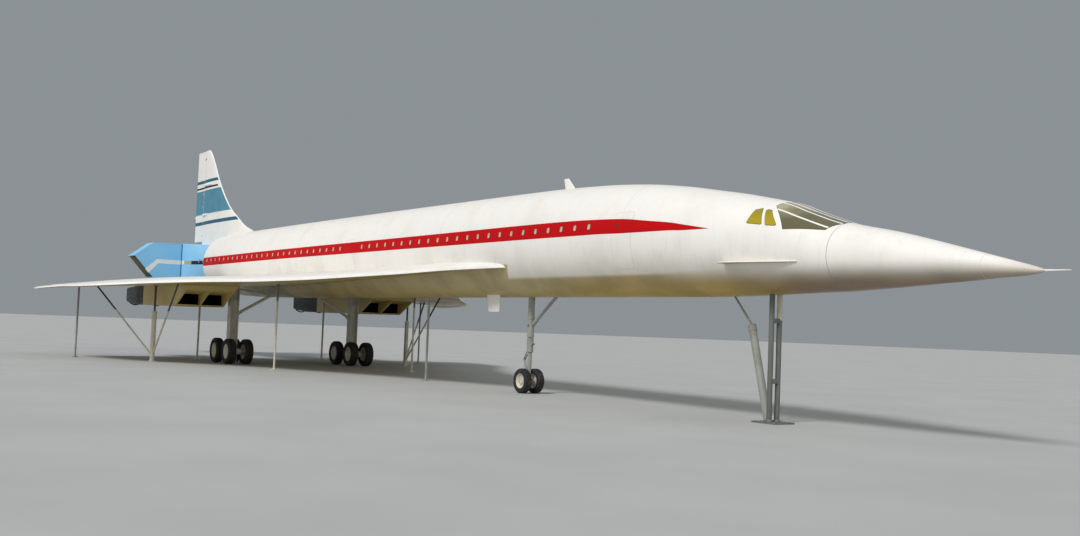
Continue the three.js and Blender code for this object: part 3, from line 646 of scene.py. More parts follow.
def rubber(name):
    material, tree, shader, coordinates = start_material(name)
    dust = noise_node(tree, coordinates, 9.0, 5.0)
    colour = mix_colour(tree, ramp(tree, dust, 0.45, 0.75), (0.012, 0.012, 0.013), (0.05, 0.047, 0.042))
    fill(tree, shader, {"Base Color": colour, "Roughness": ramp(tree, dust, 0.3, 0.7, 0.75, 0.92)})
    add_bump(tree, shader, noise_node(tree, coordinates, 120.0, 2.0), 0.002, 0.5)
    return material


def glass(name, low, high, heights, roughness=0.08, coat=0.6):
    """Thick tinted glazing with a strong gloss, of one colour low down and another high up."""
    material, tree, shader, coordinates = start_material(name)
    cloud = noise_node(tree, coordinates, 3.0, 2.0)
    shift = times(tree, minus(tree, cloud, 0.5), 0.25)
    level = plus(tree, axes_of(tree, coordinates)["Z"], shift)
    share = ramp(tree, level, DATUM + heights[0], DATUM + heights[1])
    colour = mix_colour(tree, share, low, high)
    fill(tree, shader, {"Base Color": colour, "Roughness": roughness, "IOR": 1.52, "Coat Weight": coat})
    add_bump(tree, shader, noise_node(tree, coordinates, 2.5, 1.0), 0.001, 0.1)
    return material


def bare_metal(name, base, worn, roughness):
    """Heat-stained metal with seams fore and aft."""
    material, tree, shader, coordinates = start_material(name)
    brushed = noise_node(tree, coordinates, 6.0, 5.0, (0.6, 9.0, 9.0))
    stains = noise_node(tree, coordinates, 2.2, 4.0)
    seams = line_mask(tree, axes_of(tree, coordinates)["X"], METAL_SEAM_PITCH, 0.006)
    colour = mix_colour(tree, ramp(tree, stains, 0.35, 0.7), base, worn)
    colour = mix_colour(tree, times(tree, seams, 0.7), colour, (0.012, 0.013, 0.012))
    fill(tree, shader, {
        "Base Color": colour,
        "Metallic": 0.15,
        "Specular IOR Level": 0.2,
        "Roughness": ramp(tree, brushed, 0.3, 0.7, roughness - 0.08, roughness + 0.14),
    })
    height = minus(tree, times(tree, brushed, 0.3), seams)
    add_bump(tree, shader, height, 0.002, 0.35)
    return material


WHITE = (0.875, 0.842, 0.787)
WHITE_WORN = (0.75, 0.715, 0.64)
# Underside colours along the stations: painted shade, with the colour of the ground beneath painted in as its
# reflection
UNDER_NOSE = [(0.8, (0.20, 0.085, 0.045)), (2.6, (0.24, 0.14, 0.09))]
UNDER_FUSELAGE = [
    (2.6, (0.24, 0.14, 0.09)),
    (4.4, (0.52, 0.33, 0.030)),
    (6.4, (0.55, 0.35, 0.035)),
    (9.2, (0.53, 0.40, 0.14)),
]
UNDER_WING = [(0.0, (0.42, 0.31, 0.08))]
CREAM = (0.62, 0.58, 0.47)
CREAM_WORN = (0.42, 0.38, 0.28)
GREY = (0.12, 0.13, 0.115)
SHADE = (0.075, 0.066, 0.045)
HALF_SHADE = (0.17, 0.155, 0.11)
# The underside's painted shade near its upper edge, and the heights between which it comes in
NEAR_LINE = (0.45, 0.40, 0.25)
NEAR_HEIGHTS = (-0.82, -0.60)
# Panel lines every frame: axis, pitch, offset
FRAMES = ("X", 0.63, 0.0)
METAL_SEAM_PITCH = 0.12
# Heights between which the underside's painted shade fades in: sharper behind the soft stations than ahead of
# them
BELLY_LINE = (-0.585, -0.505)
SOFT_LINE = NOSE_LINE = (-0.700, -0.420)
SOFT_STATIONS = (4.30, 6.00)
MATERIALS = {
    "white": paint("white_skin", WHITE, WHITE_WORN, 0.36, lines=(FRAMES,), under=UNDER_FUSELAGE,
                   belly=(*BELLY_LINE, True), seam=0.13),
    "nose": paint("white_nose", WHITE, WHITE_WORN, 0.36, under=UNDER_NOSE, belly=(*NOSE_LINE, False)),
    "plain_white": paint("white_plain", WHITE, WHITE_WORN, 0.38),
    "wing": paint("white_wing", WHITE, WHITE_WORN, 0.36, lines=(("X", 0.75, 0.0), ("Y", 0.96, 0.2)),
                  under=UNDER_WING, seam=0.3),
    "fin": paint("white_fin", WHITE, WHITE_WORN, 0.36, lines=(("X", 0.8, 0.1),), seam=0.15),
    "seam": paint("skin_seam", (0.60, 0.58, 0.53), (0.52, 0.50, 0.46), 0.5),
    "red": paint("red_stripe", (0.52, 0.001, 0.003), (0.44, 0.004, 0.006), 0.5, lines=(FRAMES,), seam=0.2,
                 gloss=0.12),
    "band": paint("fin_blue_broad", (0.082, 0.245, 0.34), (0.055, 0.19, 0.27), 0.42, scale=2.5, gloss=0.3),
    "band_dark": paint("fin_blue_thin", (0.016, 0.105, 0.17), (0.03, 0.12, 0.18), 0.42, gloss=0.3),
    "corridor": paint("corridor_blue", (0.25, 0.56, 0.82), (0.30, 0.60, 0.83), 0.45, scale=1.5, gloss=0.3),
    "inside": paint("corridor_inside", (0.42, 0.39, 0.24), (0.34, 0.31, 0.20), 0.6),
    "tan": paint("nacelle_tan", (0.62, 0.48, 0.165), (0.50, 0.38, 0.13), 0.45, lines=(("X", 0.9, 0.0),),
                 seam=0.3),
    "duct": paint("duct_black", (0.012, 0.013, 0.015), (0.03, 0.03, 0.03), 0.6, gloss=0.15),
    "column": paint("column_paint", (0.60, 0.59, 0.50), (0.46, 0.43, 0.34), 0.5, scale=3.0),
    "post": paint("post_grey", (0.30, 0.31, 0.28), (0.20, 0.19, 0.16), 0.5, scale=4.0),
    "cream": paint("post_cream", CREAM, CREAM_WORN, 0.5, scale=4.0),
    # The rear and wing posts are painted darker above a height: painted shadow of the wing
    "rear_post": paint("post_cream_rear", CREAM, CREAM_WORN, 0.5, scale=4.0, above=(-1.28, SHADE)),
    "wing_post": paint("post_cream_wing", CREAM, CREAM_WORN, 0.5, scale=4.0, above=(-0.98, HALF_SHADE)),
    # The starboard forward post is grey all over, and the port one grey below a height and cream above it:
    # painted shade and painted light
    "grey_post": paint("post_grey_front", GREY, (0.17, 0.17, 0.15), 0.5, scale=4.0),
    "front_post": paint("post_cream_front", GREY, (0.17, 0.17, 0.15), 0.5, scale=4.0, above=(-1.13, CREAM)),
    "dark": paint("dark_fitting", (0.02, 0.022, 0.022), (0.05, 0.048, 0.04), 0.45, scale=4.0),
    "frame": paint("window_frame", (0.10, 0.085, 0.04), (0.07, 0.06, 0.03), 0.45, scale=4.0),
    "steel": paint("plain_steel", (0.34, 0.35, 0.35), (0.22, 0.21, 0.19), 0.38, scale=4.0),
    "pane": glass("window_pane", (0.56, 0.49, 0.33), (0.46, 0.41, 0.27), (0.12, 0.19), 0.3, 0.1),
    # Dark rims round the cabin windows: painted shade in the windows' recesses
    "reveal": paint("window_reveal", (0.10, 0.02, 0.02), (0.05, 0.02, 0.02), 0.5, scale=6.0),
    "screen": glass("screen_glass", (0.125, 0.113, 0.052), (0.46, 0.42, 0.26), (0.12, 0.30)),
    "side_glass": glass("side_window_glass", (0.40, 0.30, 0.008), (0.33, 0.25, 0.012), (0.05, 0.22), 0.2,
                        0.1),
    "nozzle": bare_metal("nozzle_metal", (0.028, 0.026, 0.012), (0.02, 0.032, 0.042), 0.5),
    "rubber": rubber("tyre_rubber"),
}


# Fuselage and nose

def skin_rings(stations, proud=0.0):
    return [[skin_point(s, TAU * i / SKIN_SIDES, proud) for i in range(SKIN_SIDES)] for s in stations]


# The skin's stations lie closer ahead of this stretch than behind it
SKIN_STRETCH = (9.0, 9.2)


def skin_stations(start, end, steps):
    return spread(start, SKIN_STRETCH[0], steps) + spread(SKIN_STRETCH[1], end, 60)


# Ring seams: station, and the height where they end on each side
RING_SEAMS = [(6.060, 0.345), (11.300, -0.150), (17.900, -0.150)]
RADOME_SEAM = 0.640
# The nose probe's profile from the nose tip: distances and radii
PROBE = [(0, 0.0118), (0.085, 0.0085), (0.09, 0.0075), (0.2, 0.0065), (0.206, 0.005), (0.2747, 0.004)]


def build_fuselage():
    stations = skin_stations(NOSE_SPLIT, FUSELAGE_END, 66)
    # The bulkhead face at the nose's joint takes the seam's grey: painted shade in the gap
    bulkhead = plate(skin_rings([NOSE_SPLIT + 0.001], proud=-0.001)[0], AFT * -0.003)
    piece("fuselage_skin", [("white", [loft(skin_rings(stations))]), ("seam", [bulkhead])],
          ["fuselage"], 50)
    seams = []
    for station, height in RING_SEAMS:
        angle = skin_angle(station, height, 1)
        seams.append(skin_ring_seam(station, (angle, math.pi - angle)))
    piece("fuselage_seams", [("seam", seams)])


def build_nose():
    rings = skin_rings(spread(RADOME_END + 0.0004, NOSE_SPLIT - RUNNING_GAP, 44))
    slope = math.tan(DROOP_ANGLE)
    for point in rings[-1]:
        point.x += max(0.0, DATUM + DROOP_AXIS_HEIGHT - point.z) * slope
    piece("droop_nose_skin", [("nose", [loft(rings)])], ["droop_nose"], 50, body="nose")
    stations = [RADOME_END * (1 - math.cos(math.pi / 2 * i / 30)) for i in range(31)]
    ring_seam = skin_ring_seam(RADOME_SEAM, (-math.pi, math.pi))
    piece("radome_skin", [("nose", [loft(skin_rings(stations))]), ("seam", [ring_seam])],
          ["radome"], 50, body="nose")
    probe = turned(at(-0.0003, 0, NOSE_TIP_HEIGHT), -AFT, PROBE, 24)
    piece("probe_tube", [("plain_white", [probe])], ["nose_probe"], body="nose")


# Stripe along each side: station, lower edge, upper edge
STRIPE = [
    (4.280, 0.010, 0.0105),
    (4.750, 0.008, 0.084),
    (5.010, 0.018, 0.125),
    (5.500, 0.021, 0.176),
    (6.040, 0.024, 0.230),
    (6.600, 0.036, 0.252),
    (7.190, 0.037, 0.266),
    (8.400, 0.040, 0.273),
    (12.000, 0.041, 0.267),
    (18.000, 0.040, 0.262),
    (24.590, 0.012, 0.234),
]


STRIPE_PROUD, STRIPE_DEPTH = 0.0012, 0.006


def skin_strip(stations, low, high, side):
    """A closed thin sheet that follows the skin between two heights."""
    rings = []
    for station in stations:
        first, last = (skin_angle(station, edge(station), side) for edge in (low, high))
        places = [(station, angle) for angle in spread(first, last, 8)]
        rings.append(sheet_ring(skin_point, places, STRIPE_PROUD, STRIPE_DEPTH))
    return loft(rings)


def build_stripes():
    low, high = Curve(STRIPE, 1), Curve(STRIPE, 2)
    stations = skin_stations(STRIPE[0][0], STRIPE[-1][0], 60)
    strips = [skin_strip(stations, low, high, side) for _, side in SIDES]
    piece("side_stripes", [("red", strips)])


# Cabin windows: the first one's station, their pitch and height; a door parts the rows
WINDOW_FIRST = 6.7980
WINDOW_PITCH = 0.3495
WINDOW_HEIGHT = 0.155
WINDOW_TALL = 0.082
WINDOW_WIDE = 0.060
WINDOW_RIM = 0.006
WINDOWS_AFT = 28
WINDOWS_ALL = 51
WINDOW_SLOTS = 52
RIM_PROUD, PANE_PROUD, WINDOW_DEPTH = 0.0018, 0.0026, 0.005


def build_windows():
    places = [i if i < WINDOWS_AFT else i + 2 for i in range(WINDOWS_ALL)]
    stations = [WINDOW_FIRST + (WINDOW_SLOTS - place) * WINDOW_PITCH for place in places]
    low, high = WINDOW_HEIGHT - WINDOW_TALL / 2, WINDOW_HEIGHT + WINDOW_TALL / 2
    for name, side in SIDES:
        rims, panes = [], []
        for s in stations:
            outline = rectangle(s - WINDOW_WIDE / 2, s + WINDOW_WIDE / 2, low, high, 0.02)
            # Each window's dark rim is painted shade of its recess
            rims.append(skin_sheet(grown(outline, WINDOW_RIM), side, RIM_PROUD, WINDOW_DEPTH, 12, 4))
            panes.append(skin_sheet(outline, side, PANE_PROUD, WINDOW_DEPTH, 12, 4))
        piece(f"window_rims_{name}", [("reveal", rims)])
        piece(f"window_panes_{name}", [("pane", panes)])


# Doors: name, forward station, aft station
DOORS = [("forward", 5.800, 6.240), ("middle", 14.825, 15.265)]
DOOR_LOW, DOOR_HIGH = -0.470, 0.330
DOOR_HANDLE = (6.115, 6.165, 0.130, 0.158)
DOOR_PROUD, DOOR_DEPTH = 0.0007, 0.03
DOOR_SEAM_WIDTH, DOOR_SEAM_PROUD = 0.004, 0.0010


def build_doors():
    for door, front, rear in DOORS:
        outline = rectangle(front, rear, DOOR_LOW, DOOR_HIGH, 0.06)
        for name, side in SIDES:
            panel = skin_sheet(outline, side, DOOR_PROUD, DOOR_DEPTH, 30, 12)
            seam = skin_band(split_long(outline), side, DOOR_SEAM_WIDTH, DOOR_SEAM_PROUD)
            handle = skin_sheet(rectangle(*DOOR_HANDLE, 0.01), side, 0.0032, 0.006, 6, 6)
            groups = [("white", [panel]), ("seam", [seam])]
            if door == "forward":
                groups.append(("dark", [handle]))
            piece(f"{door}_door_panel_{name}", groups, [f"{door}_door_{name}"])


# Windscreen lines from its lower edge to its upper edge: station and half span at each end
SCREEN_LINES = [
    (2.485, 0.000, 3.430, 0.000),
    (2.485, 0.071, 3.430, 0.079),
    (2.487, 0.172, 3.440, 0.178),
    (2.566, 0.290, 3.455, 0.285),
    (2.580, 0.314, 3.378, 0.342),
    (2.600, 0.346, 3.134, 0.490),
]
SCREEN_BARS = (1, 2, 4)
BAR_HALF = 0.010
SCREEN_RIM = 0.007
SCREEN_FRAME_PROUD, SCREEN_PROUD, SCREEN_DEPTH = 0.0011, 0.0024, 0.015
BAR_PROUD, BAR_DEPTH = 0.0055, 0.012
# Side panes in side view, as station and height
SIDE_PANES = [
    [(3.523, 0.2245), (3.446, 0.2205), (3.237, 0.0075), (3.404, 0.0195)],
    [(3.674, 0.232), (3.580, 0.244), (3.462, 0.031), (3.701, 0.059)],
]


def top_point(station, y, proud):
    return skin_point(station, math.acos(max(-1.0, min(1.0, y / half_at(station)))), proud)


def screen_sheet(lines, proud, depth, steps=5):
    """A closed sheet between windscreen lines, given from one side to the other."""
    columns = [between(a, b, k / steps) for a, b in zip(lines, lines[1:]) for k in range(steps)] + [lines[-1]]
    rings = []
    for share in spread(0, 1, 26):
        row = [between(c[:2], c[2:], share) for c in columns]
        rings.append(sheet_ring(top_point, row, proud, depth))
    return loft(rings)


def moved(line, out, longer=0.0):
    s0, y0, s1, y1 = line
    return (s0 - longer, y0 + out, s1 + longer, y1 + out)


def build_cockpit():
    half = SCREEN_LINES[1:]
    lines = [(s0, -y0, s1, -y1) for s0, y0, s1, y1 in reversed(half)] + SCREEN_LINES
    rim = [moved(line, 0.0, SCREEN_RIM) for line in lines]
    rim[0], rim[-1] = moved(rim[0], -SCREEN_RIM), moved(rim[-1], SCREEN_RIM)
    bars = []
    for k in SCREEN_BARS:
        for _, side in SIDES:
            s0, y0, s1, y1 = SCREEN_LINES[k]
            line = (s0, side * y0, s1, side * y1)
            edges = [moved(line, -BAR_HALF), moved(line, BAR_HALF)]
            bars.append(screen_sheet(edges, BAR_PROUD, BAR_DEPTH, 2))
    piece("windscreen_glass", [
        ("frame", [screen_sheet(rim, SCREEN_FRAME_PROUD, SCREEN_DEPTH)]),
        ("screen", [screen_sheet(lines, SCREEN_PROUD, SCREEN_DEPTH)]),
        ("plain_white", bars),
    ], ["windscreen"], 60)
    for name, side in SIDES:
        for k, corners in enumerate(SIDE_PANES, 1):
            outline = rounded(corners, 0.014)
            border = grown(outline, 0.008)
            piece(f"side_pane_{k}_{name}", [
                ("frame", [skin_sheet(border, side, SCREEN_FRAME_PROUD, SCREEN_DEPTH, 20, 8)]),
                ("side_glass", [skin_sheet(outline, side, SCREEN_PROUD, SCREEN_DEPTH, 20, 8)]),
            ], [f"side_window_{k}_{name}"], 60)


# Blade antenna in side view: height, lead station, trail station; and a nose vane in plan
ANTENNA = [(0.840, 8.105, 8.425), (1.060, 8.345, 8.485), (1.074, 8.365, 8.480)]
ANTENNA_HALF = 0.008
LENS_STEPS = 16
VANE = [(2.890, 0.508), (3.975, 0.742), (4.036, 0.720)]
VANE_ROOT = 0.420
VANE_HEIGHT = -0.437
VANE_HALF = 0.008


def lens(lead, trail, half):
    """A thin symmetric section: places along it and half thicknesses, there and back."""
    shares = [0.5 - 0.5 * math.cos(math.pi * i / LENS_STEPS) for i in range(LENS_STEPS + 1)]
    face = [(lead + (trail - lead) * share, half * math.sin(math.pi * share) ** 0.6) for share in shares]
    return face + [(s, -y) for s, y in reversed(face[1:-1])]


def build_antenna_and_vanes():
    rings = [[at(s, y, z) for s, y in lens(lead, trail, ANTENNA_HALF)] for z, lead, trail in ANTENNA]
    piece("antenna_blade", [("plain_white", [loft(rings)])], ["blade_antenna"], 60)
    edges = [0.0, 0.5, 0.8, 0.95, 1.0]
    for name, side in SIDES:
        rings = []
        for (s0, y0), (s1, y1) in zip(VANE, VANE[1:]):
            for share in spread(0, 1, 24):
                s, y = s0 + (s1 - s0) * share, y0 + (y1 - y0) * share
                upper = [(y - VANE_HALF * (1 - e), VANE_HALF * math.sqrt(1 - e * e)) for e in edges]
                section = [(VANE_ROOT, VANE_HALF)] + upper
                section += [(out, -rise) for out, rise in reversed(section[:-1])]
                rings.append([at(s, side * out, VANE_HEIGHT + rise) for out, rise in section])
        piece(f"vane_{name}", [("wing", [loft(rings)])], [f"nose_vane_{name}"], 60)


# Wings

# Half spans of the wing's sections, either side of the step in its trailing edge
WING_ROWS = spread(0.45, 5.08, 47) + [5.084] + spread(5.1, 5.375, 8)
LUG_HALF_WIDTH, LUG_HALF_HEIGHT = 0.007, 0.015


def wing_point(y, share, sense):
    lead, lead_z, trail, trail_z, thickness, camber = (curve(y) for curve in WING_CURVES)
    middle = lead_z + share * (trail_z - lead_z) + camber * math.sin(math.pi * share ** CAMBER_POWER)
    return lead + share * (trail - lead), middle + sense * chord_half(share) * thickness


def section_walk(steps):
    """Chord shares and sides from the trailing edge round the nose and back, closer towards the nose."""
    shares = [(i / steps) ** 2 for i in range(steps + 1)]
    return [(share, 1) for share in reversed(shares)] + [(share, -1) for share in shares[1:]]


def lug_places(low, high):
    return [low + (high - low) * share for share in LUG_SHARES]


def build_wings():
    walk = section_walk(28)
    for name, side in SIDES:
        rings = []
        for y in WING_ROWS:
            ring = [wing_point(y, share, sense) for share, sense in walk]
            rings.append([at(s, side * y, z) for s, z in ring])
        lugs = []
        for inner, outer in ELEVONS:
            half = min(LUG_HALF_HEIGHT, TRAIL_SHARE * WING_CURVES[4](outer) - 0.0015)
            for y in lug_places(inner, outer):
                s, z, edge = ELEVON_HINGE, WING_CURVES[3](y), side * y - LUG_HALF_WIDTH
                lugs.append(box(WING_TRAIL - 0.01, s, edge, side * y + LUG_HALF_WIDTH, z - half, z + half))
                lugs.append(turned(at(s, edge, z), PORTWARD, [(0, half), (2 * LUG_HALF_WIDTH, half)], 20))
        piece(f"wing_skin_{name}", [("wing", [loft(rings)]), ("steel", lugs)],
              [f"wing_{name}"], 50)


# Fin, its coloured bands and the servo fairings

def hinge_station(z):
    low, high = FIN[0][0], FIN[-1][0]
    return RUDDER["base"] + (z - low) / (high - low) * (RUDDER["top"] - RUDDER["base"])


def fin_edges(z):
    return FIN_LEAD(z), hinge_station(z) - RUDDER["nose"] - RUNNING_GAP


def fin_point(z, share, sense, proud=0.0):
    lead, trail = fin_edges(z)
    return at(lead + share * (trail - lead), sense * (chord_half(share) * FIN_THICKNESS(z) + proud), z)


def rudder_point(z, share, sense, proud=0.0):
    low, high = RUDDERS["lower" if z < RUDDERS["upper"][0] else "upper"]
    rise = (z - low) / (high - low)
    half = TRAIL_SHARE * (FIN_THICKNESS(low) + rise * (FIN_THICKNESS(high) - FIN_THICKNESS(low)))
    front = hinge_station(z) - math.sqrt(RUDDER["nose"] ** 2 - half ** 2)
    station = front + share * (RUDDER["trail"] - front)
    return at(station, sense * (half + share * (RUDDER["trail_half"] - half) + proud), z)


# Bands: material, low height, high height
FIN_BANDS = [("band_dark", 2.545, 2.635), ("band", 1.620, 2.325), ("band_dark", 1.308, 1.408)]
BAND_SETBACK = 0.06
BAND_PROUD = 0.0012
# A rudder's flank is two triangles with a low ridge between them
RUDDER_PROUD = 0.0030
BAND_INSIDE = 0.002
# Shares of the chord where the bands start and end; within this height of a lug they start further aft
BAND_START = 0.012
BAND_END = 0.9995
LUG_START = 0.16
LUG_ROOM = 0.014


def band_sheet(point, low, high, sense, start):
    """A closed thin sheet on a face of the fin or of a rudder; start is a share, or gives one at a height."""
    proud = RUDDER_PROUD if point is rudder_point else BAND_PROUD
    rings = []
    for z in spread(low, high, 12):
        first = start(z) if callable(start) else start
        places = [(z, first + (BAND_END - first) * (k / 44), sense) for k in range(45)]
        rings.append(sheet_ring(point, places, proud, proud + BAND_INSIDE))
    return loft(rings)


def rudder_sheets(low, high, sense):
    """The sheets of one band on one face of a rudder."""
    inside = [z for ends in RUDDERS.values() for z in lug_places(*ends) if low < z < high]
    edges = [low] + [z + room for z in inside for room in (-LUG_ROOM, LUG_ROOM)] + [high]
    return [
        band_sheet(rudder_point, bottom, top, sense, LUG_START if k % 2 else BAND_START)
        for k, (bottom, top) in enumerate(zip(edges, edges[1:]))
    ]


def fin_band_start(z):
    lead, trail = fin_edges(z)
    return BAND_SETBACK / (trail - lead)


# Servo fairings on the fin's starboard face: name, height, forward station
SERVO_FAIRINGS = [("upper", 2.475, 26.150), ("lower", 1.600, 26.450)]
SERVO_END = 26.930
SERVO_Y = -0.030
SERVO_HALF_WIDTH = 0.045
SERVO_HALF_HEIGHT = 0.042
SERVO_SIDES = 28
# Its size along its length, as shares
SERVO_SHAPE = Curve([(0, 0.35), (0.15, 0.8), (0.4, 1), (1, 1)], 1)
# Dark marks on the starboard face: low and high height, and the chord share where each starts; the first is
# painted shadow beneath the upper servo fairing's bulge, carried on along the upper rudder
SERVO_SHADOW = (2.380, 2.432, 0.13)
MARK = (3.245, 3.275, 0.82)
FIN_ROOT = 0.590
# The fin's hinge lugs: length, half width, half height
FIN_LUG = (0.1, 0.006, 0.007)
# Heights of the upper rudder's tip, and the lamp behind the lower rudder
TIP_CAP = (3.4405, 3.498)
TAIL_LAMP = (27.660, 27.735, -0.026, -0.004, 1.530, 1.570)


def build_fin():
    walk = section_walk(40)
    reach, half_width, half_height = FIN_LUG
    rings = [[fin_point(z, *place) for place in walk] for z in spread(FIN_ROOT, FIN[-1][0], 48)]
    lugs = []
    for ends in RUDDERS.values():
        for z in lug_places(*ends):
            s = hinge_station(z)
            lugs.append(box(s - reach, s, -half_width, half_width, z - half_height, z + half_height))
    piece("fin_skin", [("fin", [loft(rings)]), ("steel", lugs)], ["fin"], 50)
    for material in ("band", "band_dark"):
        rows = [(low, high) for kind, low, high in FIN_BANDS if kind == material]
        sheets = [band_sheet(fin_point, *row, sense, fin_band_start) for row in rows for sense in (-1, 1)]
        piece(f"fin_{material}", [(material, sheets)])
    for name, (bottom, top) in RUDDERS.items():
        groups = []
        for material, low, high in FIN_BANDS:
            low, high = max(low, bottom), min(high, top)
            if high > low:
                groups.append((material, rudder_sheets(low, high, -1) + rudder_sheets(low, high, 1)))
        if name == "upper":
            corners = ((0, 1), (1, 1), (1, -1), (0, -1))
            cap = loft([[rudder_point(z, share, sense) for share, sense in corners] for z in TIP_CAP])
            groups.append(("fin", [cap]))
            # Painted shadow beneath the servo fairing, carried on along the rudder
            groups.append(("duct", rudder_sheets(*SERVO_SHADOW[:2], -1)))
        else:
            groups.append(("plain_white", [box(*TAIL_LAMP)]))
        piece(f"rudder_bands_{name}", groups, body=f"rudder_{name}")
    for name, height, start in SERVO_FAIRINGS:
        rings = []
        for share in spread(0, 1, 20):
            size = SERVO_SHAPE(share)
            ring = []
            for i in range(SERVO_SIDES):
                angle = TAU * i / SERVO_SIDES
                y = min(-0.004, SERVO_Y + SERVO_HALF_WIDTH * size * math.cos(angle))
                z = height + SERVO_HALF_HEIGHT * size * math.sin(angle)
                ring.append(at(start + share * (SERVO_END - start), y, z))
            rings.append(ring)
        groups = [("plain_white", [loft(rings)])]
        if name == "upper":
            # Painted shadow beneath this fairing, and the dark mark higher up
            marks = [band_sheet(fin_point, low, high, -1, first) for low, high, first in (SERVO_SHADOW, MARK)]
            groups.append(("duct", marks))
        piece(f"servo_cover_{name}", groups, [f"servo_fairing_{name}"], 50)


# Nacelles
NACELLE = {
    "inner": 1.725,
    "outer": 2.845,
    "wall": 0.032,
    "floor": -1.135,
}
DUCT_WIDTH = (NACELLE["outer"] - NACELLE["inner"] - 3 * NACELLE["wall"]) / 2
RAMP = [(18.965, -0.7905), (19.700, -0.860), (20.300, -0.860), (20.590, -0.800), (20.590, -0.7905)]
# Black sheets inside each duct, from and to these stations, with their thickness: painted shade over the
# duct's walls
SHADE_SHEET_FROM = 19.760
SHADE_SHEET_TO = 20.598
SHADE_SHEET_THICKNESS = 0.003
# How far the painted shade sheets and ramps stay off the duct's walls
DUCT_GAP = 0.0005
NOZZLE_END = 24.175
BORE_HEIGHT, BORE_RADIUS = -0.932, 0.185
# Profiles about the bore's line: the rim, with radii past the bore's; the pipe inside; the cone in its end
NOZZLE_RIM = [
    (0, -0.004), (0.02, -0.001), (0.032, 0.006), (0.038, 0.016), (0.032, 0.024), (0.012, 0.026), (0, 0.024),
]
JET_PIPE = [(0, 0.150), (0.55, 0.158), (1.1, 0.163), (1.1, 0.159), (0.55, 0.154), (0, 0.146)]
JET_CONE = [(0, 0.085), (0.25, 0.083), (0.5, 0.05), (0.6, 0.012)]
# How far ahead of the nozzle's end each starts
RIM_AHEAD, PIPE_AHEAD, CONE_AHEAD = 0.03, 1.12, 1.2


def duct_starts():
    first = NACELLE["inner"] + NACELLE["wall"]
    return first, first + NACELLE["wall"] + DUCT_WIDTH


def build_nacelles():
    low, high = NACELLE["floor"] + NACELLE["wall"] + DUCT_GAP, RAMP[1][1] - DUCT_GAP
    rim = [(along, BORE_RADIUS + out) for along, out in NOZZLE_RIM]
    for name, side in SIDES:
        ramps, shade_sheets, rings, throats = [], [], [], []
        for y in duct_starts():
            y0, y1 = sorted((side * (y + DUCT_GAP), side * (y + DUCT_WIDTH - DUCT_GAP)))
            ramps.append(plate([at(s, y0, z) for s, z in RAMP], PORTWARD * (y1 - y0)))
            # Painted shade: black sheets over the duct's walls inside
            for edges in ((y0, y0 + SHADE_SHEET_THICKNESS, low, high), (y1 - SHADE_SHEET_THICKNESS, y1, low, high),
                          (y0, y1, low, low + SHADE_SHEET_THICKNESS), (y0, y1, high - SHADE_SHEET_THICKNESS, high)):
                shade_sheets.append(box(SHADE_SHEET_FROM, SHADE_SHEET_TO, *edges))
            rim_at, pipe_at, cone_at = (
                at(NOZZLE_END - ahead, side * (y + DUCT_WIDTH / 2), BORE_HEIGHT)
                for ahead in (RIM_AHEAD, PIPE_AHEAD, CONE_AHEAD)
            )
            rings.append(turned(rim_at, AFT, rim, 56, loop=True))
            throats.append(turned(pipe_at, AFT, JET_PIPE, 48, loop=True))
            throats.append(turned(cone_at, AFT, JET_CONE, 32))
        piece(f"intake_ramps_{name}", [("tan", ramps)], bevel=0.003)
        piece(f"duct_painted_shade_{name}", [("duct", shade_sheets)])
        piece(f"nozzle_rings_{name}", [("nozzle", rings)])
        piece(f"jet_pipes_{name}", [("duct", throats)])


# Wheels

TYRE = [
    (0.58, 0.36), (0.62, 0.43), (0.70, 0.48), (0.80, 0.50), (0.88, 0.485), (0.94, 0.44), (0.975, 0.37),
    (0.992, 0.30), (0.972, 0.292), (0.972, 0.262), (0.995, 0.254), (1.0, 0.105), (0.978, 0.097),
    (0.978, 0.063), (1.0, 0.055),
]
RIM = [
    (0.0, 0.16), (0.10, 0.16), (0.13, 0.20), (0.21, 0.20), (0.23, 0.13), (0.36, 0.10), (0.46, 0.14),
    (0.53, 0.29), (0.57, 0.37), (0.61, 0.39), (0.62, 0.34),
]
WHEEL_BOLTS = 10
# Where the wheel's bolts lie, as shares of its radius and of its width
BOLT_RING, BOLT_OUT = 0.30, 0.115


def wheel(centre, radius, width):
    """Tyre, rim and bolts of one wheel that turns about a line across the aircraft."""
    tyre = [(w * width, r * radius) for r, w in TYRE]
    tyre += [(-w, r) for w, r in reversed(tyre)]
    rim = [(w * width, max(r * radius, 0.001)) for r, w in RIM]
    rim += [(-w, r) for w, r in reversed(rim)]
    heads = []
    for sense in (-1, 1):
        for i in range(WHEEL_BOLTS):
            angle = TAU * i / WHEEL_BOLTS
            arm = Vector((math.cos(angle), 0, math.sin(angle))) * radius * BOLT_RING
            place = centre + arm + PORTWARD * sense * width * BOLT_OUT
            heads.append(turned(place, PORTWARD * sense, [(0, 0.007), (0.009, 0.007)], 6))
    return (
        turned(centre, PORTWARD, tyre, 72, loop=True),
        turned(centre, PORTWARD, rim, 56),
        merge(heads),
    )


def build_wheel_pair(name, nodes, centre, gauge, radius, width, axle_radius):
    tyres, rims, metal = [], [], []
    for sense in (-1, 1):
        tyre, rim, heads = wheel(centre + PORTWARD * sense * gauge / 2, radius, width)
        tyres.append(tyre)
        rims.append(rim)
        metal.append(heads)
    reach = PORTWARD * gauge / 2
    metal.append(rod(centre - reach, centre + reach, axle_radius, 32))
    groups = [("rubber", tyres), ("cream", rims), ("steel", metal)]
    piece(name, groups, nodes, body=nodes[0])


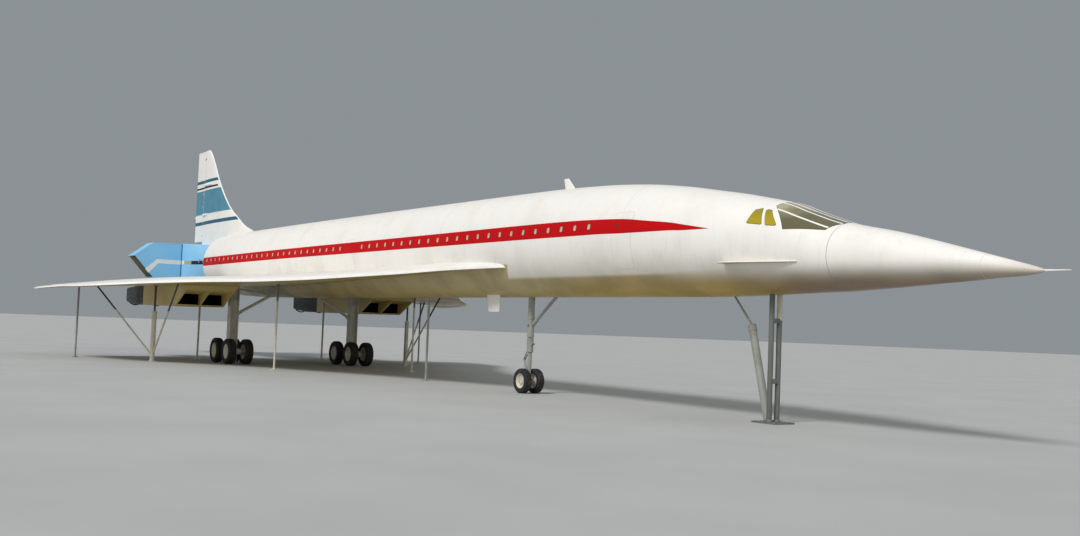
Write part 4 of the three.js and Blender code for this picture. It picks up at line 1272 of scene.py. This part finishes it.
# Main gear
MAIN = {"station": 19.600, "y": 1.510, "radius": 0.2885, "width": 0.190, "gauge": 0.400, "wheelbase": 0.835}
MAIN_AXLE_HEIGHT = FLOOR + 0.290
MAIN_AXLE_RADIUS = 0.042
COLUMN = {"half": 0.100, "plate": 0.016, "top": -0.655, "foot_half": 0.125, "foot": 0.018}
COLUMN_RIBS = (-2.02, -1.50, -1.265, -0.95)
RIB_HALF = 0.006
HEAD_PLATE = (-0.690, -0.676)
FOOT_BOLTS = (0.105, 0.112)
STAY = {"foot": -1.265, "head": -0.690, "knee_y": 0.620, "knee_z": -0.805}


def build_main_gear():
    s, axle_z = MAIN["station"], MAIN_AXLE_HEIGHT
    half, thin = COLUMN["half"], COLUMN["plate"]
    for name, side in SIDES:
        y = side * MAIN["y"]
        axles = [at(s + k * MAIN["wheelbase"] / 2, y, axle_z) for k in (-1, 1)]
        column = [
            box(s - half, s + half, y - half, y - half + thin, FLOOR, COLUMN["top"]),
            box(s - half, s + half, y + half - thin, y + half, FLOOR, COLUMN["top"]),
            box(s - thin / 2, s + thin / 2, y - half + thin, y + half - thin, FLOOR, COLUMN["top"]),
        ]
        for z in COLUMN_RIBS:
            rib = box(s - half, s + half, y - half + thin, y + half - thin, z - RIB_HALF, z + RIB_HALF)
            column.append(rib)
        foot = pad(s, y, COLUMN["foot_half"], FLOOR, FLOOR + COLUMN["foot"])
        head = pad(s, y, COLUMN["foot_half"], *HEAD_PLATE)
        heads = bolts(four_places(s, y, FLOOR + COLUMN["foot"], *FOOT_BOLTS))
        knee = at(s, side * STAY["knee_y"], STAY["knee_z"])
        edge = y - side * half
        lug = at(s, edge - side * 0.03, STAY["foot"])
        stays = [
            rod(at(s, edge, STAY["foot"]), knee, 0.034),
            rod(at(s, edge, STAY["head"]), knee, 0.022),
            drum(knee, AFT, 0.1, 0.046, 0.04, 0.004, 28),
            rod(lug - AFT * 0.06, lug + AFT * 0.06, 0.03),
        ]
        beam = [rod(*axles, 0.048), drum(at(s, y, axle_z), AFT, 0.28, 0.066, 0.05, 0.02, 32)]
        beam.extend(drum(axle, PORTWARD, 0.124, 0.068, 0.060, 0.004, 36) for axle in axles)
        brakes = [rod(axle + UP * 0.075, at(s, y, axle_z + 0.085), 0.011) for axle in axles]
        piece(f"main_gear_{name}", [("column", column + [foot, head] + stays)],
              [f"main_leg_{name}"], bevel=0.0015)
        piece(f"bogie_{name}", [("column", beam), ("steel", brakes + [heads])])
        for place, axle in zip(("front", "rear"), axles):
            node_name = f"main_wheels_{place}_{name}"
            sizes = MAIN["gauge"], MAIN["radius"], MAIN["width"], MAIN_AXLE_RADIUS
            build_wheel_pair(f"{node_name}_tyres", [node_name], axle, *sizes)


# Nose gear
NOSE_STATION = 9.300
NOSE_AXLE_HEIGHT = FLOOR + 0.205
# Gauge, wheel radius and width, axle radius
NOSE_WHEELS = (0.250, 0.2045, 0.130, 0.028)
# The leg's foot, and its profile upward
LEG_FOOT = -1.500
LEG = [
    (0, 0.056), (0.004, 0.060), (0.05, 0.060), (0.054, 0.054), (0.30, 0.054), (0.304, 0.060),
    (0.36, 0.060), (0.364, 0.054), (0.60, 0.054), (0.72, 0.058),
]
# The drag strut's ends, as stations and heights, and its lug on the leg
DRAG_STRUT = [(9.260, -1.300), (8.540, -0.800)]
DRAG_RADIUS = 0.026
LEG_LUG_AT = (9.235, -1.283)
LEG_LUG = [(0, 0.03), (0.02, 0.036), (0.12, 0.036), (0.14, 0.028)]
LEG_PIN_HEIGHT = -1.290
# The fork's collar, and its torque links: upper end and knee, as stations from the leg and heights
FORK_COLLAR_HEIGHT = -1.629
TORQUE_TOP, TORQUE_KNEE = (0.045, -1.72), (0.15, -1.86)
TORQUE_HALF = 0.022
DOOR_ARMS = (10.20, 10.42)
NOSE_DOOR = [(9.990, -0.780), (10.410, -0.780), (10.330, -1.090), (9.990, -1.090)]
NOSE_DOOR_Y = (-0.206, -0.194)


def build_nose_gear():
    s = NOSE_STATION
    leg = [
        turned(at(s, 0, LEG_FOOT), UP, LEG, 40),
        rod(*(at(station, 0, z) for station, z in DRAG_STRUT), DRAG_RADIUS),
        turned(at(LEG_LUG_AT[0], 0, LEG_LUG_AT[1]), Vector((0.72, 0, 0.5)), LEG_LUG, 28),
        drum(at(s, 0, LEG_PIN_HEIGHT), PORTWARD, 0.15, 0.026, 0.02, 0.004, 24),
    ]
    piece("nose_leg_tubes", [("post", leg)], ["nose_leg"])
    axle = at(s, 0, NOSE_AXLE_HEIGHT)
    fork = [
        turned(axle, UP, [(0, 0.034), (0.45, 0.034), (0.912, 0.034), (0.919, 0.030)], 36),
        drum(at(s, 0, FORK_COLLAR_HEIGHT), UP, 0.242, 0.054, 0.046, 0.008, 36),
        drum(axle, PORTWARD, 0.12, 0.046, 0.040, 0.004, 36),
    ]
    top, knee = (at(s + back, 0, z) for back, z in (TORQUE_TOP, TORQUE_KNEE))
    for y in (-TORQUE_HALF, TORQUE_HALF):
        out = PORTWARD * y
        fork.append(rod(top + out, knee + out * 0.6, 0.010, 16))
        fork.append(rod(knee + out * 0.6, axle + AFT * 0.045 + UP * 0.02 + out, 0.010, 16))
    fork.append(rod(knee - PORTWARD * 0.028, knee + PORTWARD * 0.028, 0.013, 20))
    fork.append(rod(at(s - 0.065, -0.03, -1.60), at(s - 0.065, 0.03, -1.60), 0.030, 28))
    piece("nose_fork", [("post", fork)], ["nose_steering"], body="nose_steering")
    build_wheel_pair("nose_tyres", ["nose_wheels"], axle, *NOSE_WHEELS)
    ring = [at(station, NOSE_DOOR_Y[0], z) for station, z in rounded(NOSE_DOOR, 0.03)]
    door = plate(ring, PORTWARD * (NOSE_DOOR_Y[1] - NOSE_DOOR_Y[0]))
    arms = [rod(at(x, -0.200, -0.86), at(x - 0.03, -0.150, -0.80), 0.008, 16) for x in DOOR_ARMS]
    piece("nose_door_plate", [("plain_white", [door]), ("steel", arms)],
          ["nose_gear_door"], bevel=0.002)


# Posts under the wings: name, station, half span, radius, material
WING_POSTS = [
    ("wing_tip", 21.700, 4.500, 0.022, "post"),
    ("wing_rear", 19.975, 3.210, 0.024, "rear_post"),
    ("wing_inner_rear", 21.700, 1.640, 0.024, "cream"),
    ("wing_forward", 16.570, 1.620, 0.022, "wing_post"),
]
FOOT_HALF = 0.070
FOOT_THICKNESS = 0.012
POST_BOLTS = 0.052
# The thick lower part of a braced post: radius, top height; its braces: radius, foot height
THICK_POST = (0.052, -1.290)
BRACE = (0.020, -2.300)
# The post under the belly: station, top height, radius
BELLY_POST = (12.880, -0.830, 0.022)
# Where the braces' heads lie from the post: stations aft and half span outboard
BRACE_HEADS = [(-1.700, 0.0), (1.040, 1.040)]


def wing_underside(station, y):
    """Height of the wing's lower skin above a place."""
    lead, trail = WING_CURVES[0](y), WING_CURVES[2](y)
    share = max(0.0, min(1.0, (station - lead) / (trail - lead)))
    return wing_point(y, share, -1)[1]


def foot_plate(station, y):
    top = FLOOR + FOOT_THICKNESS
    heads = bolts(four_places(station, y, top, POST_BOLTS, POST_BOLTS), 0.006, 0.007)
    return pad(station, y, FOOT_HALF, FLOOR, top), heads


def build_posts():
    for name, station, half_span, radius, material in WING_POSTS:
        for side_name, side in SIDES:
            y = side * half_span
            top = wing_underside(station, half_span)
            base, heads = foot_plate(station, y)
            collar = [(0, radius + 0.004), (0.003, radius + 0.008), (0.026, radius + 0.008), (0.03, radius)]
            flange = [(0, radius * 2.4), (0.01, radius * 2.4), (0.014, radius)]
            parts = [
                base,
                rod(at(station, y, FLOOR + 0.002), at(station, y, top + 0.01), radius),
                turned(at(station, y, FLOOR + FOOT_THICKNESS), UP, collar),
                turned(at(station, y, top + 0.004), -UP, flange, 32),
            ]
            if name == "wing_rear":
                thick, height = THICK_POST
                cap = height - FLOOR
                profile = [(0, thick), (cap - 0.05, thick), (cap - 0.046, thick + 0.006),
                           (cap - 0.006, thick + 0.006), (cap, thick), (cap, radius)]
                parts.append(turned(at(station, y, FLOOR), UP, profile, 40))
                brace_radius, foot = BRACE
                for aft, out in BRACE_HEADS:
                    place = half_span + out
                    head = at(station + aft, side * place, wing_underside(station + aft, place) + 0.008)
                    parts.append(rod(at(station, y, foot), head, brace_radius))
            piece(f"{name}_post_{side_name}", [(material, parts), ("steel", [heads])],
                  [f"post_{name}_{side_name}"], bevel=0.001)
    station, top, radius = BELLY_POST
    base, heads = foot_plate(station, 0.0)
    tube = rod(at(station, 0, FLOOR), at(station, 0, top), radius)
    piece("belly_post", [("post", [base, tube]), ("steel", [heads])], ["post_belly"])


# Forward posts: station, half span, radius, top height; their foot plate and its bolts; the ties between them
FORWARD_POSTS = (3.700, 0.068, 0.034, -0.790)
FORWARD_FOOT = (3.500, 3.900, 0.180, 0.020)
FORWARD_BOLTS = (0.160, 0.140)
TIE_HEIGHTS = (-1.9, -1.14)
TIE_HALF = 0.03
# Raking strut: foot, knee and head, as stations and heights
STRUT = [(3.790, -2.400), (4.120, -1.190), (4.460, -0.815)]


def build_forward_posts():
    station, half_span, radius, height = FORWARD_POSTS
    front, rear, half, thickness = FORWARD_FOOT
    top = FLOOR + thickness
    collar = [(0, radius + 0.014), (0.004, radius + 0.014), (0.03, radius)]
    tubes = [
        merge([
            rod(at(station, y, FLOOR + 0.005), at(station, y, height), radius, 36),
            turned(at(station, y, top), UP, collar, 36),
        ])
        for y in (-half_span, half_span)
    ]
    ties = [
        box(station - TIE_HALF, station + TIE_HALF, -half_span, half_span, z - TIE_HALF, z + TIE_HALF)
        for z in TIE_HEIGHTS
    ]
    heads = bolts(four_places(station, 0, top, *FORWARD_BOLTS))
    piece("front_posts", [
        ("grey_post", [box(front, rear, -half, half, FLOOR, top), tubes[0]] + ties),
        ("front_post", [tubes[1]]),
        ("steel", [heads]),
    ], ["forward_posts"], bevel=0.0015)
    foot, knee, head = (at(s, 0, z) for s, z in STRUT)
    length = (knee - foot).length
    profile = [(0, 0.047), (0.004, 0.050), (length - 0.09, 0.050), (length - 0.086, 0.056),
               (length - 0.01, 0.056), (length, 0.048)]
    strut = [turned(foot, knee - foot, profile, 40), rod(knee, head, 0.014)]
    piece("front_strut", [("post", strut)], ["forward_strut"])


# Corridor: a link that goes from the fuselage's section to a box, then an arm to starboard with an open mouth
CORRIDOR = {"turn": 26.950, "full_to": 27.620, "rear": 27.950, "narrower": 0.095, "wall": 0.030}
LINK_START = {"half": 0.700, "top": 0.875, "roof": 0.600, "floor": -0.690}
LINK_END = {"half": 0.585, "top": 0.725, "roof": 0.725, "floor": -0.560}
# Arm's outline from the front: half spans and heights; the mouth is the side after the third corner
ARM = [(0.585, 0.725), (-1.415, 0.700), (-1.950, 0.295), (-1.410, -0.305), (-1.180, -0.560), (0.585, -0.560)]
ARM_MOUTH = 2
# Stripe on the link: station, middle height
LINK_STRIPE = [(24.610, 0.108), (25.120, 0.118), (25.840, 0.1375), (26.830, 0.170), (26.950, 0.170)]
LINK_STRIPE_PARTS = [("duct", 24.610, 25.850), ("inside", 25.850, 26.645), ("plain_white", 26.645, 26.949)]
STRIPE_HALF = 0.050
# Stripe on the arm's front: half spans and heights of its corners in turn
ARM_STRIPE = [
    (-0.585, 0.110), (-0.585, 0.228), (-1.290, 0.228), (-1.612, -0.070), (-1.515, -0.180), (-1.250, 0.110),
]
LINK_SIDES = 96
# The linings inside: thickness, and how far they stay off the walls
LINING, LINING_GAP = 0.003, 0.0005
# The height of the roof's corner where the link meets the arm
ROOF_CORNER = 0.7104


def link_ring(share, inset):
    """The link's section at a share of its length: an ellipse with a flat roof that turns into a box."""
    ring = []
    sizes = {key: LINK_START[key] + (LINK_END[key] - LINK_START[key]) * share for key in LINK_START}
    middle, rise = (sizes["top"] + sizes["floor"]) / 2, (sizes["top"] - sizes["floor"]) / 2 - inset
    for i in range(LINK_SIDES):
        angle = TAU * i / LINK_SIDES
        c, s = math.cos(angle), math.sin(angle)
        reach = 1 - share + share / max(abs(c), abs(s))
        height = min(middle + rise * s * reach, sizes["roof"] - inset)
        ring.append((c * reach * (sizes["half"] - inset), height))
    return ring


def link_half(station):
    share = (station - FUSELAGE_END) / (CORRIDOR["turn"] - FUSELAGE_END)
    return LINK_START["half"] + (LINK_END["half"] - LINK_START["half"]) * share


def arm_outline(station, inset):
    """The arm's outline at a station: its outer end is narrower at the rear."""
    share = max(0.0, (station - CORRIDOR["full_to"]) / (CORRIDOR["rear"] - CORRIDOR["full_to"]))
    outline = [(y + CORRIDOR["narrower"] * share if y < -1 else y, z) for y, z in ARM]
    return drawn_in(outline, inset) if inset else outline


def arm_walls(inset, wall):
    """The arm's walls around its outline, one loft for each side but the mouth."""
    stations = (CORRIDOR["turn"], CORRIDOR["full_to"], CORRIDOR["rear"])
    outer, inner = ([arm_outline(s, depth) for s in stations] for depth in (inset, inset + wall))
    walls = []
    for k in range(len(ARM)):
        if k == ARM_MOUTH:
            continue
        j = (k + 1) % len(ARM)
        walls.append(loft([
            [at(s, *corner) for corner in (a[k], a[j], b[j], b[k])] for s, a, b in zip(stations, outer, inner)
        ]))
    return walls


def build_corridor():
    turn, rear, wall = CORRIDOR["turn"], CORRIDOR["rear"], CORRIDOR["wall"]
    stations = spread(FUSELAGE_END + 0.0005, turn, 14)
    rings = []
    for inset in (0.0, wall):
        shares = spread(0, 1, len(stations))
        side = [[at(s, *p) for p in link_ring(share, inset)] for s, share in zip(stations, shares)]
        rings.extend(side if inset == 0.0 else reversed(side))
    edge = wall - LINK_END["half"]
    front = drawn_in([(edge, ROOF_CORNER)] + ARM[1:5] + [(edge, ARM[5][1])], wall)
    back = arm_outline(rear, wall)
    shell = [loft(rings, loop=True), plate([at(turn, *p) for p in front], AFT * wall)]
    shell.append(plate([at(rear - wall, *p) for p in back], AFT * wall))
    shell.extend(arm_walls(0.0, wall))
    front_lining = plate([at(turn + wall + LINING_GAP, *p) for p in front], AFT * LINING)
    rear_lining = plate([at(rear - wall - LINING - LINING_GAP, *p) for p in back], AFT * LINING)
    piece("corridor_skin", [
        ("corridor", shell),
        ("inside", [front_lining, rear_lining] + arm_walls(wall + LINING_GAP, LINING)),
    ], ["entrance_corridor"])
    build_corridor_stripe()


def build_corridor_stripe():
    middle = Curve(LINK_STRIPE, 1)
    groups = []
    for material, start, end in LINK_STRIPE_PARTS:
        parts = []
        for side in (-1, 1):
            rings = []
            for s in spread(start, end, 12):
                y0, y1 = side * (link_half(s) - 0.008), side * (link_half(s) + 0.0025)
                z0, z1 = middle(s) - STRIPE_HALF, middle(s) + STRIPE_HALF
                rings.append([at(s, y0, z0), at(s, y1, z0), at(s, y1, z1), at(s, y0, z1)])
            parts.append(loft(rings))
        groups.append((material, parts))
    ring = [at(CORRIDOR["turn"] + 0.001, y, z) for y, z in ARM_STRIPE]
    upper = [ring[0], ring[1], ring[2], ring[5]]
    lower = [ring[5], ring[2], ring[3], ring[4]]
    groups.append(("plain_white", [plate(upper, AFT * -0.0035), plate(lower, AFT * -0.0035)]))
    edge = LINK_END["half"]
    joint = box(CORRIDOR["turn"] - 0.012, CORRIDOR["turn"] + 0.001, -edge - 0.022, -edge + 0.004,
                LINK_END["floor"] + 0.01, 0.705)
    groups.append(("band_dark", [joint]))
    piece("corridor_stripe", groups)


# Camera, light and floor

def build_camera():
    heading, pitch, roll = CAMERA_HEADING, CAMERA_PITCH, CAMERA_ROLL
    forward = Vector((
        -math.cos(heading) * math.cos(pitch),
        math.sin(heading) * math.cos(pitch),
        math.sin(pitch),
    ))
    level_right = Vector((math.sin(heading), math.cos(heading), 0.0))
    level_up = level_right.cross(forward)
    right = level_right * math.cos(roll) + level_up * math.sin(roll)
    up = level_up * math.cos(roll) - level_right * math.sin(roll)
    data = bpy.data.cameras.new("camera")
    data.lens = CAMERA_LENS
    data.sensor_width = 36.0
    data.clip_end = 1000.0
    camera = add_object("camera", data)
    turn = Matrix((right, up, -forward)).transposed().to_4x4()
    place = Vector((NOSE_X + CAMERA_AHEAD, CAMERA_Y, CAMERA_HEIGHT))
    camera.matrix_world = Matrix.Translation(place) @ turn
    bpy.context.scene.camera = camera


FLOOR_HALF = 260.0


def build_floor():
    size = FLOOR_HALF
    mesh = bpy.data.meshes.new("floor")
    corners = [(-size, -size, 0), (size, -size, 0), (size, size, 0), (-size, size, 0)]
    mesh.from_pydata(corners, [], [(0, 1, 2, 3)])
    material, tree, shader, coordinates = start_material("floor")
    cloud = noise_node(tree, coordinates, 0.5, 3.0)
    colour = mix_colour(tree, ramp(tree, cloud, 0.3, 0.7), (0.42, 0.42, 0.41), (0.45, 0.45, 0.44))
    fill(tree, shader, {"Base Color": colour, "Roughness": 0.9})
    mesh.materials.append(material)
    add_object("floor", mesh)


SKY = (0.26, 0.285, 0.30, 1.0)
# Suns: name, strength, angle across, direction of the light
SUNS = [
    ("key", 2.25, 0.25, (-0.20, 0.66, -0.72)),
    ("side", 0.55, 1.5, (-0.45, 0.85, -0.25)),
    ("front", 0.70, 1.2, (-0.80, -0.20, -0.50)),
]


def build_light():
    bpy.context.scene.view_settings.view_transform = "Standard"
    world = bpy.data.worlds.new("studio")
    world.use_nodes = True
    background = world.node_tree.nodes["Background"]
    background.inputs["Color"].default_value = SKY
    background.inputs["Strength"].default_value = 1.0
    bpy.context.scene.world = world
    for name, energy, angle, direction in SUNS:
        data = bpy.data.lights.new(name, "SUN")
        data.energy = energy
        data.angle = angle
        lamp = add_object(name, data)
        lamp.rotation_mode = "QUATERNION"
        lamp.rotation_quaternion = Vector(direction).to_track_quat("-Z", "Y")


# Finishes of the CAD nodes that stay, by material slot and by the start of a node's name
SLOT_FINISH = {
    "white_paint": "plain_white",
    "blue_paint": "corridor",
    "cockpit_glass": "screen",
    "nozzle_metal": "nozzle",
    "dark_metal": "duct",
    "column_paint": "column",
    "pale_paint": "post",
    "tyre_rubber": "rubber",
    "nacelle_paint": "tan",
}
NAME_FINISH = {"elevon": "wing", "rudder": "fin"}


def paint_carried_nodes():
    slots = {part["node"]: part["material_slot"] for part in frame["record"]["subparts"]}
    for name, obj in frame["nodes"].items():
        finish = NAME_FINISH.get(name.split("_")[0], SLOT_FINISH[slots[name]])
        obj.data.materials.clear()
        obj.data.materials.append(MATERIALS[finish])


build_camera()
build_floor()
build_light()
paint_carried_nodes()
build_fuselage()
build_nose()
build_stripes()
build_windows()
build_doors()
build_cockpit()
build_antenna_and_vanes()
build_wings()
build_fin()
build_nacelles()
build_main_gear()
build_nose_gear()
build_posts()
build_forward_posts()
build_corridor()
